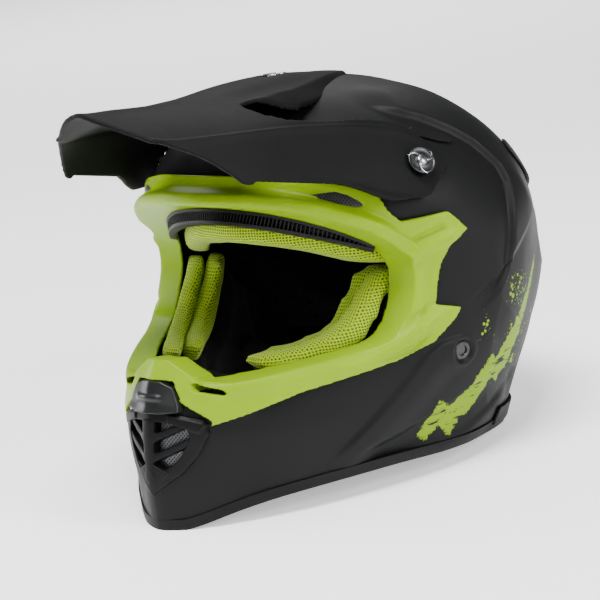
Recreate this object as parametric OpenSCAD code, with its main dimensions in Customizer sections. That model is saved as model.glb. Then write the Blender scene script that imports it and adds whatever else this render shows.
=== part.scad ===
// Motocross helmet. Left is +X, forwards is -Y, and the neck rim stands on Z = 0.
// Most pieces are drawn level, as the helmet is worn, and worn() sets them on the rim.

/* [Shell] */
// Overall width of the shell
shell_w = 240; // [210:1:290]
// Reach of the shell from the head centre to the chin
chin_reach = 165; // [145:1:200]
// Reach of the shell from the head centre to the back
rear_reach = 123; // [108:1:148]
// Height of the crown above the chin's lower edge, as worn
shell_h = 257; // [230:1:300]
// Thickness of the moulded shell
shell_t = 4; // [3:0.5:6]
// Angle between the worn position and the rim plane
rake = 10.5; // [6:0.5:14]
// Height of the rubber bead round the neck opening
bead_h = 6.5; // [4:0.5:8]

/* [Liner] */
// Thickness of the foam liner at the crown
crown_foam = 25; // [20:1:32]
// Thickness of the foam liner in the jaw
jaw_foam = 11; // [8:1:14]
// Thickness of the cheek pads
cheek_foam = 34; // [26:1:42]
// Thickness of the crown and brow comfort pads
comfort_foam = 8; // [6:1:12]
// Gap between one layer and the next
layer_gap = 0.4; // [0.3:0.1:1]

/* [Eyeport] */
// Thickness of the trim that frames the eyeport
trim_t = 3; // [2:0.5:4]
// Depth of the trim's lip inside the eyeport
lip_depth = 12; // [8:1:16]
// Thickness of the trim's lip
lip_t = 3; // [2:0.5:4]
// Number of slots in the brow louvre
louvre_slots = 15; // [9:2:21]

/* [Peak] */
// Reach of the peak's tip from the head centre
peak_reach = 218; // [200:1:250]
// Thickness of the peak
peak_t = 2.6; // [2:0.2:4]
// Half width of the tongue that runs up to the crown
tongue_w = 26; // [20:1:30]
// Length of the slot for the crown screw
tilt_slot = 20; // [16:1:26]
// Diameter of the peak screws' heads
screw_head_d = 17; // [14:0.5:20]
// Diameter of the peak screws' shanks
screw_d = 6; // [5:0.5:8]
// Clearance round a screw's shank
screw_play = 0.4; // [0.3:0.1:0.8]

/* [Strap] */
// Width of the chin strap
strap_w = 22; // [18:1:26]
// Thickness of the chin strap
strap_t = 2; // [1.5:0.5:3]
// Diameter of the wire in the D-rings
ring_wire = 3.6; // [3:0.2:5]
// Height of the left strap anchor above the rim plane
anchor_z = 76; // [60:1:90]

/* [Hidden] */

// The outlines below are drawn for a shell of this size and stretch with it.
std_w = 240;
std_chin = 165;
std_rear = 123;
std_h = 257;
kx = shell_w / std_w;
kz = shell_h / std_h;
function ky(y) = y < 0 ? chin_reach / std_chin : rear_reach / std_rear;

// The shell's form: height, half width, reach to the front and reach to the back.
FORM = [[-40, 78, 146, 84], [0, 88, 158, 92], [30, 97, 163, 104], [60, 106, 165, 106],
    [80, 112, 163, 110], [100, 117, 156, 119], [118, 119, 146, 126], [135, 120, 134, 126],
    [150, 120, 126, 124], [165, 119.5, 119, 123]];
// Roundness of the front half: 1 is a wedge and 2 is an ellipse.
ROUND = [[-40, 1.6], [60, 1.6], [80, 1.5], [100, 1.38], [135, 1.35], [150, 1.45],
    [165, 1.65], [185, 1.95], [200, 2]];
cap_z = 165;                 // the crown's dome starts at this height
black = "#202123";
graphite = "#3a3c40";
neon = "#c6f000";
steel = "#b9bcc0";

function reach(z, i) = lookup(z, [for (row = FORM) [row[0], row[i]]]);
function dome(z, off) = z <= cap_z ? 1
    : sqrt(max(0, 1 - pow((z - cap_z) / (std_h + off - cap_z), 2)));
function arc(v, n) = sign(v) * pow(abs(v), 2 / n);

// One level ring of the shell's form, off millimetres outside it.
function ring(z, off, n) =
    let (k = dome(z, off), round_front = lookup(z, ROUND))
    [for (i = [0 : n - 1])
        let (a = 360 * i / n, front = cos(a) > 0)
        [kx * (reach(z, 1) + off) * k * arc(sin(a), front ? round_front : 2.05),
         (front ? -(reach(z, 2) + off) * k * ky(-1) * arc(cos(a), round_front)
                : -(reach(z, 3) + off) * pow(k, 1.25) * ky(1) * arc(cos(a), 2.05)),
         kz * z]];

// The shell's form as a closed solid, grown by off, with n sides and at least levels rings.
module form(off, n = 48, bottom = -30, levels = 1) {
    top = std_h + off;
    low = [for (row = FORM) if (row[0] > bottom) row[0]];
    high = [for (a = [14 : 12 / levels : 84]) cap_z + (top - cap_z) * sin(a)];
    heights = concat([bottom], low, high);
    rows = [for (z = heights) ring(z, off, n)];
    m = len(rows);
    points = concat([for (row = rows) each row], [[0, 0, kz * bottom], [0, 0, kz * top]]);
    side = [for (j = [0 : m - 2], i = [0 : n - 1])
        let (k = (i + 1) % n, a = j * n + i, b = j * n + k, c = a + n, d = b + n)
        each [[a, b, d], [a, d, c]]];
    base = [for (i = [0 : n - 1]) [m * n, (i + 1) % n, i]];
    crown = [for (i = [0 : n - 1]) [m * n + 1, (m - 1) * n + i, (m - 1) * n + (i + 1) % n]];
    polyhedron(points, [for (f = concat(side, base, crown)) [f[0], f[2], f[1]]]);
}

// A layer of the form between two offsets.
module layer(outer, inner, n = 48, levels = 1) {
    difference() {
        form(outer, n, -30, levels);
        form(inner, n, -34, levels);
    }
}

// Evaluates a swept and trimmed shape as one closed mesh.
module one_mesh() {
    resize([0, 0, 0]) children();
}

// Stands a piece that is drawn as worn on its rim.
module worn() {
    translate([0, middle_y, -chin_edge * sin(rake)]) rotate([-rake, 0, 0]) children();
}
chin_edge = 158 * ky(-1);    // the rim's front edge, ahead of the head centre
// The whole helmet's middle lies this far ahead of the head centre.
tip_end = peak_reach * cos(rake) - 212.6 * kz * sin(rake);
back_end = (rear_reach + 1.9) * cos(rake) + 178 * kz * sin(rake);
middle_y = (tip_end - back_end) / 2;

// A prism across the helmet whose outline is drawn from the side, as [y, z] points.
module side_prism(points, x0 = -200, x1 = 200, grow = 0) {
    translate([x0, 0, 0]) rotate([90, 0, 90]) linear_extrude(x1 - x0) offset(grow)
        polygon([for (p = points) [p[0] * ky(p[0]), p[1] * kz]]);
}
// A prism along the helmet whose outline is drawn from the front, as [x, z] points.
module front_prism(points, y0, y1) {
    translate([0, y1, 0]) rotate([90, 0, 0]) linear_extrude(y1 - y0)
        polygon([for (p = points) [p[0] * kx, p[1] * kz]]);
}
function mirrored(points) =
    concat(points, [for (i = [len(points) - 1 : -1 : 0]) [-points[i][0], points[i][1]]]);

// Side outlines, as [y, z].
EYEPORT = [[-230, 181], [-118, 181], [-103, 176], [-75, 164], [-59, 154], [-54, 144],
    [-54, 130], [-61, 111], [-71, 103], [-111, 93], [-138, 86], [-146, 85], [-230, 100]];
TRIM = [[-230, 199], [-116, 199], [-78, 191], [-72, 179], [-65, 173], [-40, 178], [-27, 168],
    [-39, 156], [-41, 125], [-27, 123], [-30, 117], [-47, 99], [-113, 79], [-150, 65],
    [-160, 80], [-230, 84]];
RIM = [[-150, 0], [-128, 9], [-100, 13], [-50, 14], [0, 11], [40, 9], [72, 2], [76, 0]];

// Everything under the rim, with the arch over the shoulders, raised by up.
module under_rim(up) {
    translate([-200, middle_y, 0]) rotate([90, 0, 90]) linear_extrude(400)
        polygon(concat([[-300, up], [RIM[0][0] * ky(-1), up]],
            [for (p = RIM) [p[0] * ky(p[0]), p[1] + up]],
            [[300, up], [300, -80], [-300, -80]]));
}
// Keeps what stands above the rim, for a piece that is drawn as worn.
module above_rim(up = 0) {
    difference() {
        worn() children();
        under_rim(up);
    }
}

liner_out = -shell_t - layer_gap;
crown_in = liner_out - crown_foam;
jaw_in = liner_out - jaw_foam;
cheek_out = jaw_in - layer_gap;
cheek_in = cheek_out - cheek_foam;

// ---------------------------------------------------------------- shell and liners
module outer_shell() {
    color(black) one_mesh() above_rim(bead_h) difference() {
        layer(0, -shell_t);
        side_prism(EYEPORT, grow = 7);
        mouth_window(-1);
        for (s = [-1, 1]) {
            peak_axis(s) cylinder(d = nut_d + 0.6, h = 60, center = true, $fn = 24);
            jaw_axis(s) cylinder(d = rivet_d + 0.6, h = 40, center = true, $fn = 24);
            rear_window(s, 0.3);
        }
        top_axis() cylinder(d = nut_d + 0.6, h = 60, center = true, $fn = 24);
    }
}

CROWN_REGION = [[-160, 300], [-160, 176], [-112, 176], [-60, 161], [-42, 150], [10, 126],
    [40, 90], [150, 90], [150, 300]];
module crown_liner() {
    color("#2a2a2c") one_mesh() worn() difference() {
        intersection() {
            layer(liner_out, crown_in, 36);
            side_prism(CROWN_REGION);
        }
        side_prism(EYEPORT, grow = 4);
        for (s = [-1, 1]) peak_axis(s) cylinder(d = nut_d + 2, h = 60, center = true, $fn = 24);
        top_axis() cylinder(d = nut_d + 2, h = 48, center = true, $fn = 24);
    }
}

JAW_REGION = [[-190, 60], [-138, 80], [-111, 88], [-71, 97], [-52, 112], [-46, 140],
    [-40, 147], [8, 123], [36, 88], [36, -40], [-190, -40]];
module jaw_liner() {
    color("#2a2a2c") one_mesh() above_rim(bead_h + 4) difference() {
        intersection() {
            layer(liner_out, jaw_in, 36);
            side_prism(JAW_REGION);
        }
        side_prism(EYEPORT, grow = 4);
        mouth_window(1);
        for (s = [-1, 1]) {
            jaw_axis(s) cylinder(d = rivet_d + 1, h = 60, center = true, $fn = 24);
            strap_slot(s);
        }
    }
}

module edge_bead() {
    color("#111213") one_mesh() intersection() {
        worn() layer(1.2, -shell_t - 1.2);
        difference() {
            under_rim(bead_h);
            under_rim(0);
        }
    }
}

// ---------------------------------------------------------------- places of the fasteners
// Half width of the form at a side position, off millimetres outside it.
function skin_x(y, z, off) =
    let (k = dome(z, off), n = y < 0 ? lookup(z, ROUND) : 2.05,
         across = (reach(z, 1) + off) * k, along = (reach(z, y < 0 ? 2 : 3) + off) * k)
    kx * across * pow(1 - pow(abs(y) / along, n), 1 / n);

nut_d = 12;                  // threaded inserts in the shell
rivet_d = 8;                 // strap rivets
rivet_l = 12.6;              // from the shell's outer face to the strap's anchor
bushing_d = 11;              // collars in the peak's arms
arm_gap = 8;                 // the arms' outer face stands this far off the shell
screw_at = [-54, 206];       // side screws, as [y, z]
top_at = [-60, 252.8];       // crown screw, as [y, z], on the tongue's outer face
rivet_at = [-22, 97];        // strap rivets, as [y, z]

// Local +Z leaves the shell at a side screw, with the origin on the arm's outer face.
module peak_axis(s) {
    mirror([s < 0 ? 1 : 0, 0, 0])
        translate([skin_x(screw_at[0], screw_at[1], arm_gap), screw_at[0] * ky(-1),
            screw_at[1] * kz])
        rotate([0, 61, -28]) children();
}
module top_axis() {
    translate([0, top_at[0] * ky(-1), top_at[1] * kz]) rotate([12, 0, 0]) children();
}
// Local +Z leaves the shell at a strap rivet, with the origin on the shell's outer face.
module jaw_axis(s) {
    mirror([s < 0 ? 1 : 0, 0, 0])
        translate([skin_x(rivet_at[0], rivet_at[1], 0), rivet_at[0] * ky(-1), rivet_at[1] * kz])
        rotate([0, 98, -17]) children();
}

// ---------------------------------------------------------------- eyeport
module eyeport_trim() {
    color(neon) one_mesh() worn() difference() {
        union() {
            intersection() {
                layer(0.3 + trim_t, 0.3);
                side_prism(TRIM);
            }
            intersection() {
                layer(0.3 + trim_t, -lip_depth);
                side_prism(EYEPORT, grow = lip_t);
            }
            // The hood over the brow.
            intersection() {
                layer(0.3 + trim_t + 5, 0.3);
                side_prism([[-230, 191], [-112, 191], [-92, 184], [-62, 170], [-50, 160],
                    [-59, 152], [-103, 175], [-118, 180], [-230, 180]]);
            }
        }
        difference() {
            side_prism(EYEPORT);
            nose_bridge();
        }
        nose_notch();
        translate([-300, 60, -100]) cube([600, 300, 500]);
        for (s = [-1, 1]) brow_window(s, 0);
    }
}
// The trim rises to a low bridge over the nose.
module nose_bridge() {
    front_prism(mirrored([[24, 78], [22, 88], [7.5, 97]]), -260, -100);
}
// The trim and the shell stop above the nose cap.
module nose_notch() {
    front_prism(mirrored([[33, 55], [33, 64.5], [18.4, 73.8], [13, 85.6]]), -260, -100);
}
BROW_WINDOW = [[-100, 187.5], [-91, 189], [-82, 182], [-90, 182.5]];
module brow_window(s, grow) {
    side_prism(BROW_WINDOW, s > 0 ? 0 : -200, s > 0 ? 200 : 0, grow);
}
module brow_mesh(s) {
    color(steel) one_mesh() worn() intersection() {
        layer(0.3 + trim_t - 0.6, 0.3 + trim_t - 1.6);
        brow_window(s, -0.3);
    }
}
module brow_mesh_left() { brow_mesh(1); }
module brow_mesh_right() { brow_mesh(-1); }

module brow_louvre() {
    color("#151617") one_mesh() worn() difference() {
        intersection() {
            layer(-lip_depth + 8, -lip_depth - 2);
            side_prism([[-230, 180.4], [-118, 180.4], [-103, 175.4], [-84, 168], [-84, 161],
                [-103, 166], [-118, 170], [-230, 170]]);
        }
        translate([-300, -60, 0]) cube([600, 400, 400]);
        for (i = [0 : louvre_slots - 1])
            rotate([0, 0, (i - (louvre_slots - 1) / 2) * 84 / louvre_slots])
                translate([-1.8, -200, 166 * kz]) cube([3.6, 200, 11]);
    }
}

// ---------------------------------------------------------------- peak
// Plan and height of the peak: y, centre height, ridge x, ridge height, lower x, lower height.
PEAK = [[-218, 233, 24, 225, 28, 221], [-199, 233, 36.5, 217.5, 46, 210],
    [-180, 234.5, 48, 219.5, 60, 201], [-160, 236, 58.5, 222, 72, 194.5],
    [-130, 240.5, 67, 225, 79, 193.5], [-100, 246.5, 76, 226, 89, 193],
    [-76, 251, 83, 225, 100, 189], [-54, 254.5, 91, 221.5, 110, 188.5],
    [-32, 258.5, 99, 213, 116, 190], [-6, 262.5, 104, 204, 120, 192]];

// One section of the peak's outer face, from the left lower edge over to the right one.
function peak_row(r) =
    let (ridge = [r[2], r[3]], low = [r[4], r[5]],
         half = [low, 0.5 * (low + ridge) + [1.5, 0], ridge,
            for (a = [60, 40, 20]) [r[2] * sin(a) / sin(78), r[3] + (r[1] - r[3]) * cos(a * 1.12)]],
         all = concat(half, [[0, r[1]]], [for (i = [5 : -1 : 0]) [-half[i][0], half[i][1]]]))
    [for (p = all) [p[0] * kx, r[0] < 0 ? r[0] * peak_stretch(r[0]) : r[0], p[1] * kz]];
// The arms keep to the shell, and only the part ahead of it stretches with the peak's reach.
function peak_stretch(y) = y > -100 ? ky(-1)
    : ky(-1) + (peak_reach / 218 - ky(-1)) * (-100 - y) / 118;

function unit(v) = v / norm(v);
function face_normal(g, j, i) =
    let (m = len(g), n = len(g[0]),
         along = g[min(j + 1, m - 1)][i] - g[max(j - 1, 0)][i],
         across = g[j][min(i + 1, n - 1)] - g[j][max(i - 1, 0)])
    unit(cross(across, along));

// A sheet of even thickness under a grid of points.
module sheet(g, t) {
    m = len(g);
    n = len(g[0]);
    inner = [for (j = [0 : m - 1]) [for (i = [0 : n - 1]) g[j][i] - t * face_normal(g, j, i)]];
    points = concat([for (r = g) each r], [for (r = inner) each r]);
    skin = [for (j = [0 : m - 2], i = [0 : n - 2])
        let (a = j * n + i, b = a + 1, c = a + n, d = c + 1, k = m * n)
        each [[a, d, b], [a, c, d], [a + k, b + k, d + k], [a + k, d + k, c + k]]];
    ends = [for (i = [0 : n - 2], e = [0, m - 1])
        let (a = e * n + i, b = a + 1, k = m * n)
        each (e == 0 ? [[a, b, b + k], [a, b + k, a + k]] : [[a, b + k, b], [a, a + k, b + k]])];
    sides = [for (j = [0 : m - 2], e = [0, n - 1])
        let (a = j * n + e, c = a + n, k = m * n)
        each (e == 0 ? [[a, a + k, c + k], [a, c + k, c]] : [[a, c + k, a + k], [a, c, c + k]])];
    polyhedron(points, concat(skin, ends, sides));
}

// The plan of the space between the tongue and an arm.
module beside_tongue(s) {
    linear_extrude(600) polygon([for (p = [[tongue_w + 3, -119], [tongue_w + 9, -129], [63, -128],
        [72, -104], [79, -78], [86, -54], [94, -30], [130, 40], [6, 40], [tongue_w - 12, -12],
        [tongue_w - 4, -37], [tongue_w + 4, -80], [tongue_w, -92]])
        [s * p[0] * kx, p[1] * ky(-1)]]);
}

// The arms' outline from the side.
ARM = [[-260, 300], [-260, 150], [-168, 170], [-160, 194.5], [-156, 197], [-104, 194.5],
    [-94, 191.5], [-80, 185], [-56, 187.5], [-30, 206], [-50, 228], [-60, 300]];
module peak() {
    color("#1b1c1e") one_mesh() worn() difference() {
        union() {
            difference() {
                intersection() {
                    sheet([for (r = PEAK) peak_row(r)], peak_t);
                    union() {
                        side_prism(ARM);
                        side_prism([[-230, 300], [-230, 238], [-8, 238], [-8, 300]], -40, 40);
                    }
                }
                for (s = [-1, 1]) beside_tongue(s);
            }
            for (s = [-1, 1]) peak_axis(s) translate([0, 0, -peak_t - 0.3]) screw_seat(4);
            top_axis() translate([0, 0, -peak_t - 0.3]) long_seat(screw_head_d + 3, 4);
        }
        for (s = [-1, 1]) peak_axis(s) {
            cylinder(d = bushing_d + 0.2, h = 20, center = true, $fn = 24);
            cylinder(d = screw_head_d + 3.4, h = 8, $fn = 48);
        }
        top_axis() long_seat(screw_head_d + 3.4, 8);
        top_axis() hull() for (e = [-1, 1])
            translate([0, e * (tilt_slot - screw_d) / 2, 0])
                cylinder(d = screw_d + 2 * screw_play, h = 20, center = true, $fn = 24);
    }
}
// A seat along the tilt slot, so the crown screw's head stays clear as the peak tilts.
module long_seat(d, h) {
    hull() for (e = [-1, 1]) translate([0, e * (tilt_slot - screw_d) / 2, 0])
        cylinder(d = d, h = h, $fn = 48);
}
// A round seat under a side screw's head.
module screw_seat(h) {
    cylinder(d = screw_head_d + 3, h = h, $fn = 48);
}
module peak_bushing(s) {
    color("#2b2c2e") worn() peak_axis(s) translate([0, 0, -peak_t - 0.4]) difference() {
        cylinder(d = bushing_d, h = peak_t + 0.4, $fn = 48);
        translate([0, 0, -1]) cylinder(d = screw_d + 2 * screw_play, h = peak_t + 3, $fn = 48);
    }
}
module peak_bushing_left() { peak_bushing(1); }
module peak_bushing_right() { peak_bushing(-1); }

// A screw with a thin disc head and a three-armed grip, standing gap above the origin.
module grip_screw(shank, gap) {
    translate([0, 0, gap]) cylinder(d = screw_head_d, h = 1.8, $fn = 48);
    translate([0, 0, gap + 1.8]) cylinder(d1 = screw_head_d * 0.5, d2 = screw_head_d * 0.3,
        h = 1.6, $fn = 48);
    for (a = [90, 210, 330]) rotate([0, 0, a])
        translate([0, -0.9, gap + 1.4]) cube([screw_head_d / 2 - 0.3, 1.8, 1.5]);
    translate([0, 0, gap - shank]) cylinder(d = screw_d, h = shank + 0.5, $fn = 48);
}
side_shank = 17;
top_shank = 17;
side_gap = 0.9;              // clear under the eased side screws, so the peak can tilt
top_gap = 2;                 // clear under the eased crown screw
module peak_screw(s) { color(steel) worn() peak_axis(s) grip_screw(side_shank, side_gap); }
module peak_screw_left() { peak_screw(1); }
module peak_screw_right() { peak_screw(-1); }
module peak_screw_top() { color(steel) worn() top_axis() grip_screw(top_shank, top_gap); }

// A threaded insert that starts depth below the origin.
module insert(depth, length) {
    translate([0, 0, -depth - length]) difference() {
        cylinder(d = nut_d, h = length, $fn = 48);
        translate([0, 0, -1]) cylinder(d = screw_d + 0.1, h = length + 2, $fn = 48);
    }
}
module peak_nut(s) { color(steel) worn() peak_axis(s) insert(arm_gap - 0.6, 9); }
module peak_nut_left() { peak_nut(1); }
module peak_nut_right() { peak_nut(-1); }
module peak_nut_top() { color(steel) worn() top_axis() insert(arm_gap - 0.2, 8); }

// ---------------------------------------------------------------- nose and mouth
MOUTH = mirrored([[13, 67.5], [33, 63], [22, 38], [0.01, 21]]);
module mouth_window(grow) {
    s = 1 + grow / 12;
    front_prism([for (p = MOUTH) [p[0] * s, 48 + (p[1] - 48) * s]], -300, -100);
}
module nose_cap() {
    color(graphite) one_mesh() worn() intersection() {
        layer(0.3 + trim_t + 1, 0.3);
        front_prism(mirrored([[17.5, 68.4], [17, 73], [12.4, 85]]), -300, -100);
    }
}
module mouth_vent_frame() {
    color("#191a1b") one_mesh() worn() difference() {
        intersection() {
            union() {
                layer(2.6, 0.3);
                intersection() {
                    layer(2.6, -shell_t - 3);
                    mouth_window(-1.4);
                }
            }
            mouth_window(0);
        }
        mouth_window(-4);
    }
}
module mouth_vent_blades() {
    color("#2c2d30") one_mesh() worn() intersection() {
        layer(1.4, -shell_t - 2);
        mouth_window(-4.2);
        union() {
            front_prism([[-2.5, 0], [2.5, 0], [5, 90], [-5, 90]], -300, -100);
            for (s = [-1, 1], z = [34, 44, 54])
                front_prism([[0, z - 4], [s * 30, z + 3], [s * 30, z + 5], [0, z - 1.4]],
                    -300, -100);
        }
    }
}
module mouth_vent_mesh() {
    color(steel) one_mesh() worn() intersection() {
        layer(-shell_t - 2.4, -shell_t - 3.4);
        mouth_window(-4.2);
    }
}
module chin_pad() {
    color("#101011") one_mesh() above_rim(bead_h + 6) intersection() {
        layer(cheek_out, cheek_out - 8, 36);
        side_prism([[-190, 96], [-134, 92], [-112, 86], [-104, 60], [-104, 10], [-190, 10]]);
    }
}

// ---------------------------------------------------------------- padding
module brow_pad() {
    color(neon) one_mesh() worn() intersection() {
        layer(-lip_depth - 2.5, crown_in - 2, 36);
        side_prism([[-160, 175], [-112, 175.2], [-84, 167], [-58, 157], [-44, 149.5],
            [-43, 147.2], [-60, 147.2], [-68, 151], [-90, 160], [-115, 164], [-160, 165]]);
    }
}
module crown_pad() {
    color("#1c1c1e") one_mesh() worn() intersection() {
        layer(crown_in - layer_gap, crown_in - layer_gap - comfort_foam, 36);
        side_prism([[-160, 300], [-160, 182], [-60, 170], [20, 135], [60, 100], [150, 100],
            [150, 300]]);
    }
}
CHEEK = [[-58, 112], [-50, 128], [-40, 145], [8, 121], [32, 92], [34, 62], [10, 52], [-30, 44],
    [-66, 40], [-92, 42], [-102, 62], [-104, 84], [-82, 93], [-66, 100]];
module cheek_pad(s) {
    color("#1c1c1e") one_mesh() above_rim(bead_h + 7) difference() {
        intersection() {
            layer(cheek_out, cheek_in, 36);
            side_prism(CHEEK, s > 0 ? 10 : -200, s > 0 ? 200 : -10);
        }
        strap_slot(s);
    }
}
module cheek_pad_left() { cheek_pad(1); }
module cheek_pad_right() { cheek_pad(-1); }

// The rolled front edge of a cheek pad, seen through the eyeport.
module cheek_roll(s) {
    color(neon) one_mesh() worn() intersection() {
        layer(cheek_out, cheek_out - 26, 36);
        side_prism([[-58.4, 112.6], [-66, 100.8], [-82, 93.8], [-104.4, 84.6], [-117, 92],
            [-114, 98], [-90, 104], [-72, 114], [-62, 128], [-52, 145], [-43, 145.6],
            [-50.4, 128.6]], s > 0 ? 10 : -200, s > 0 ? 200 : -10);
    }
}
module cheek_roll_left() { cheek_roll(1); }
module cheek_roll_right() { cheek_roll(-1); }
module neck_roll() {
    color("#161617") one_mesh() above_rim(bead_h + 3) intersection() {
        layer(liner_out - 1, liner_out - 25, 36);
        side_prism([[44, 88], [40, 20], [150, 20], [150, 88]]);
    }
}

// ---------------------------------------------------------------- strap and D-rings
strap_y = middle_y - 4;      // the straps' middle line
ring_gap = 0.9;              // between the two rings' wires
ring_pitch = ring_wire + ring_gap;
ring_x = 36;                 // the rings hang here
ring_z = 42;                 // height of the rings' straight bars
ring_r = strap_w / 2 + ring_wire / 2 + 1.2;

// A flat strap through points of [x, y, z].
module ribbon(path) {
    half = strap_w / 2;
    m = len(path);
    rows = [for (i = [0 : m - 1])
        let (d = unit(path[min(i + 1, m - 1)] - path[max(i - 1, 0)]), side = [0, 1, 0],
             n = unit(cross(d, side)) * strap_t / 2)
        [path[i] - side * half - n, path[i] + side * half - n, path[i] + side * half + n,
         path[i] - side * half + n]];
    points = [for (r = rows) each r];
    walls = [for (j = [0 : m - 2], i = [0 : 3])
        let (a = 4 * j + i, b = 4 * j + (i + 1) % 4)
        each [[a, b, b + 4], [a, b + 4, a + 4]]];
    ends = [[0, 2, 1], [0, 3, 2], [4 * m - 4, 4 * m - 3, 4 * m - 2],
        [4 * m - 4, 4 * m - 2, 4 * m - 1]];
    polyhedron(points, [for (f = concat(walls, ends)) [f[0], f[2], f[1]]]);
}
// The route of each strap from its rivet through the cheek pad.
function strap_start(s) = [for (p = [[94, 72], [80, 67], [66, 62], [54, 58]])
    [s * p[0] * kx, strap_y, p[1] + anchor_z - 76]];
module strap_slot(s) {
    worn_inverse() translate([0, strap_y, anchor_z - 76]) rotate([90, 0, 0])
        linear_extrude(strap_w + 4, center = true)
            polygon([for (p = [[110, 84], [110, 68], [30, 44], [30, 60]]) [s * p[0] * kx, p[1]]]);
}
module worn_inverse() {
    rotate([rake, 0, 0]) translate([0, -middle_y, chin_edge * sin(rake)]) children();
}
module strap_short() {
    color("#0e0e0f") {
        ribbon(concat(strap_start(1), [[46, strap_y, 54.5], [39.5, strap_y, 50.6],
            [ring_x + 0.8, strap_y, ring_z + ring_wire / 2 + 1.6]]));
        translate([ring_x, strap_y, ring_z]) rotate([90, 0, 0]) difference() {
            linear_extrude(strap_w, center = true) offset(strap_t) bar_pocket();
            linear_extrude(strap_w + 2, center = true) bar_pocket();
        }
    }
}
module bar_pocket() {
    hull() for (e = [-1, 1]) translate([e * ring_pitch / 2, 0]) circle(d = ring_wire + 0.8);
}
module strap_long() {
    color("#0e0e0f") ribbon(concat(strap_start(-1), [for (p = [[-46, 53], [-40, 44], [-37, 30],
        [-33, 16], [-25, 6.5], [-14, 2.2], [0, 1.2], [20, 1.2], [40, 1.2]]) [p[0], strap_y, p[1]]]));
}
module d_ring(x) {
    color(steel) translate([x, strap_y, ring_z]) {
        rotate([90, 0, 0]) cylinder(d = ring_wire, h = 2 * ring_r, center = true, $fn = 32);
        intersection() {
            rotate([0, 90, 0]) rotate_extrude($fn = 48) translate([ring_r, 0])
                circle(d = ring_wire, $fn = 32);
            translate([-10, -50, -50]) cube([20, 100, 50]);
        }
    }
}
module d_ring_front() { d_ring(ring_x - ring_pitch / 2); }
module d_ring_back() { d_ring(ring_x + ring_pitch / 2); }
module strap_anchor(s) {
    color(steel) translate([s * 97 * kx, strap_y, anchor_z - 3]) rotate([0, s * 8, 0])
        cube([1.6, strap_w, 12], center = true);
}
module strap_anchor_left() { strap_anchor(1); }
module strap_anchor_right() { strap_anchor(-1); }
module jaw_screw(s) {
    color(steel) worn() jaw_axis(s) {
        translate([0, 0, -rivet_l]) cylinder(d = rivet_d, h = rivet_l + 0.4, $fn = 48);
        translate([0, 0, 0.3]) cylinder(d1 = rivet_d + 3, d2 = rivet_d + 1.6, h = 1.1, $fn = 48);
    }
}
module jaw_screw_left() { jaw_screw(1); }
module jaw_screw_right() { jaw_screw(-1); }

// ---------------------------------------------------------------- rear
module rear_window(s, grow) {
    front_prism([for (p = [[18 - grow, 150 - grow], [50 + grow, 156 - grow],
        [50 + grow, 168 + grow], [18 - grow, 166 + grow]]) [s * p[0], p[1]]], 40, 200);
}
module rear_vent(s) {
    color("#191a1b") one_mesh() worn() intersection() {
        layer(1.2, -shell_t);
        difference() {
            rear_window(s, 0);
            for (x = [23 : 5 : 46]) translate([s * x - 1.2, 40, 153 * kz]) cube([2.4, 160, 11]);
        }
    }
}
module rear_vent_left() { rear_vent(1); }
module rear_vent_right() { rear_vent(-1); }
module rear_spoiler() {
    color(black) one_mesh() worn() intersection() {
        layer(4.5, 0.3);
        side_prism([[34, 209], [60, 198], [130, 172], [130, 182], [100, 200], [66, 214],
            [38, 219]]);
    }
}
module rear_skirt() {
    color("#141516") one_mesh() above_rim(bead_h + 0.4) intersection() {
        layer(2.4, 0.3);
        side_prism([[24, 58], [60, 58], [130, 60], [130, 40], [24, 40]]);
    }
}
module badge(s) {
    color("#303236") one_mesh() worn() intersection() {
        layer(0.9, 0.2);
        side_prism([[-44, 222], [-22, 215.5], [-14, 219], [-36, 226]], s > 0 ? 0 : -200,
            s > 0 ? 200 : 0);
    }
}
module badge_left() { badge(1); }
module badge_right() { badge(-1); }

outer_shell();
crown_liner();
jaw_liner();
eyeport_trim();
brow_louvre();
brow_mesh_left();
brow_mesh_right();
peak();
peak_bushing_left();
peak_bushing_right();
peak_screw_left();
peak_screw_right();
peak_screw_top();
peak_nut_left();
peak_nut_right();
peak_nut_top();
nose_cap();
mouth_vent_frame();
mouth_vent_blades();
mouth_vent_mesh();
chin_pad();
brow_pad();
crown_pad();
cheek_pad_left();
cheek_pad_right();
cheek_roll_left();
cheek_roll_right();
neck_roll();
strap_long();
strap_short();
d_ring_front();
d_ring_back();
strap_anchor_left();
strap_anchor_right();
jaw_screw_left();
jaw_screw_right();
edge_bead();
rear_skirt();
rear_vent_left();
rear_vent_right();
badge_left();
badge_right();
rear_spoiler();
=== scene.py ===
# The looks of a motocross helmet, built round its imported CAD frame.
# Shapes are worked out in millimetres in the worn position and then tipped onto the rim.
import bpy
import bmesh
import math
import numpy as np
from mathutils import Matrix, Vector


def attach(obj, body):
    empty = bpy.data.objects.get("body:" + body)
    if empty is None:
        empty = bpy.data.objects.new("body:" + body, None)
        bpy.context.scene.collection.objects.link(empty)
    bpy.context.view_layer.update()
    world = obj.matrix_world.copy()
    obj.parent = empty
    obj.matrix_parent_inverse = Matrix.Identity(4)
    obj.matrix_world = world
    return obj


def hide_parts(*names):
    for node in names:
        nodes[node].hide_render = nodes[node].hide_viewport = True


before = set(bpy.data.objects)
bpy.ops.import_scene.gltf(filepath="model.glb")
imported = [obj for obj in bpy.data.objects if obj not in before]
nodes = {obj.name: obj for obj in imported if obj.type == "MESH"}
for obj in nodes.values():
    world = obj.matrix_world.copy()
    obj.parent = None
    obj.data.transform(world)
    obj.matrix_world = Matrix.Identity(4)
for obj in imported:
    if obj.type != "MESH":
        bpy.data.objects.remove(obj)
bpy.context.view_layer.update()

# ------------------------------------------------------------------ the frame's own sizes
MM = 0.001
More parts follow.
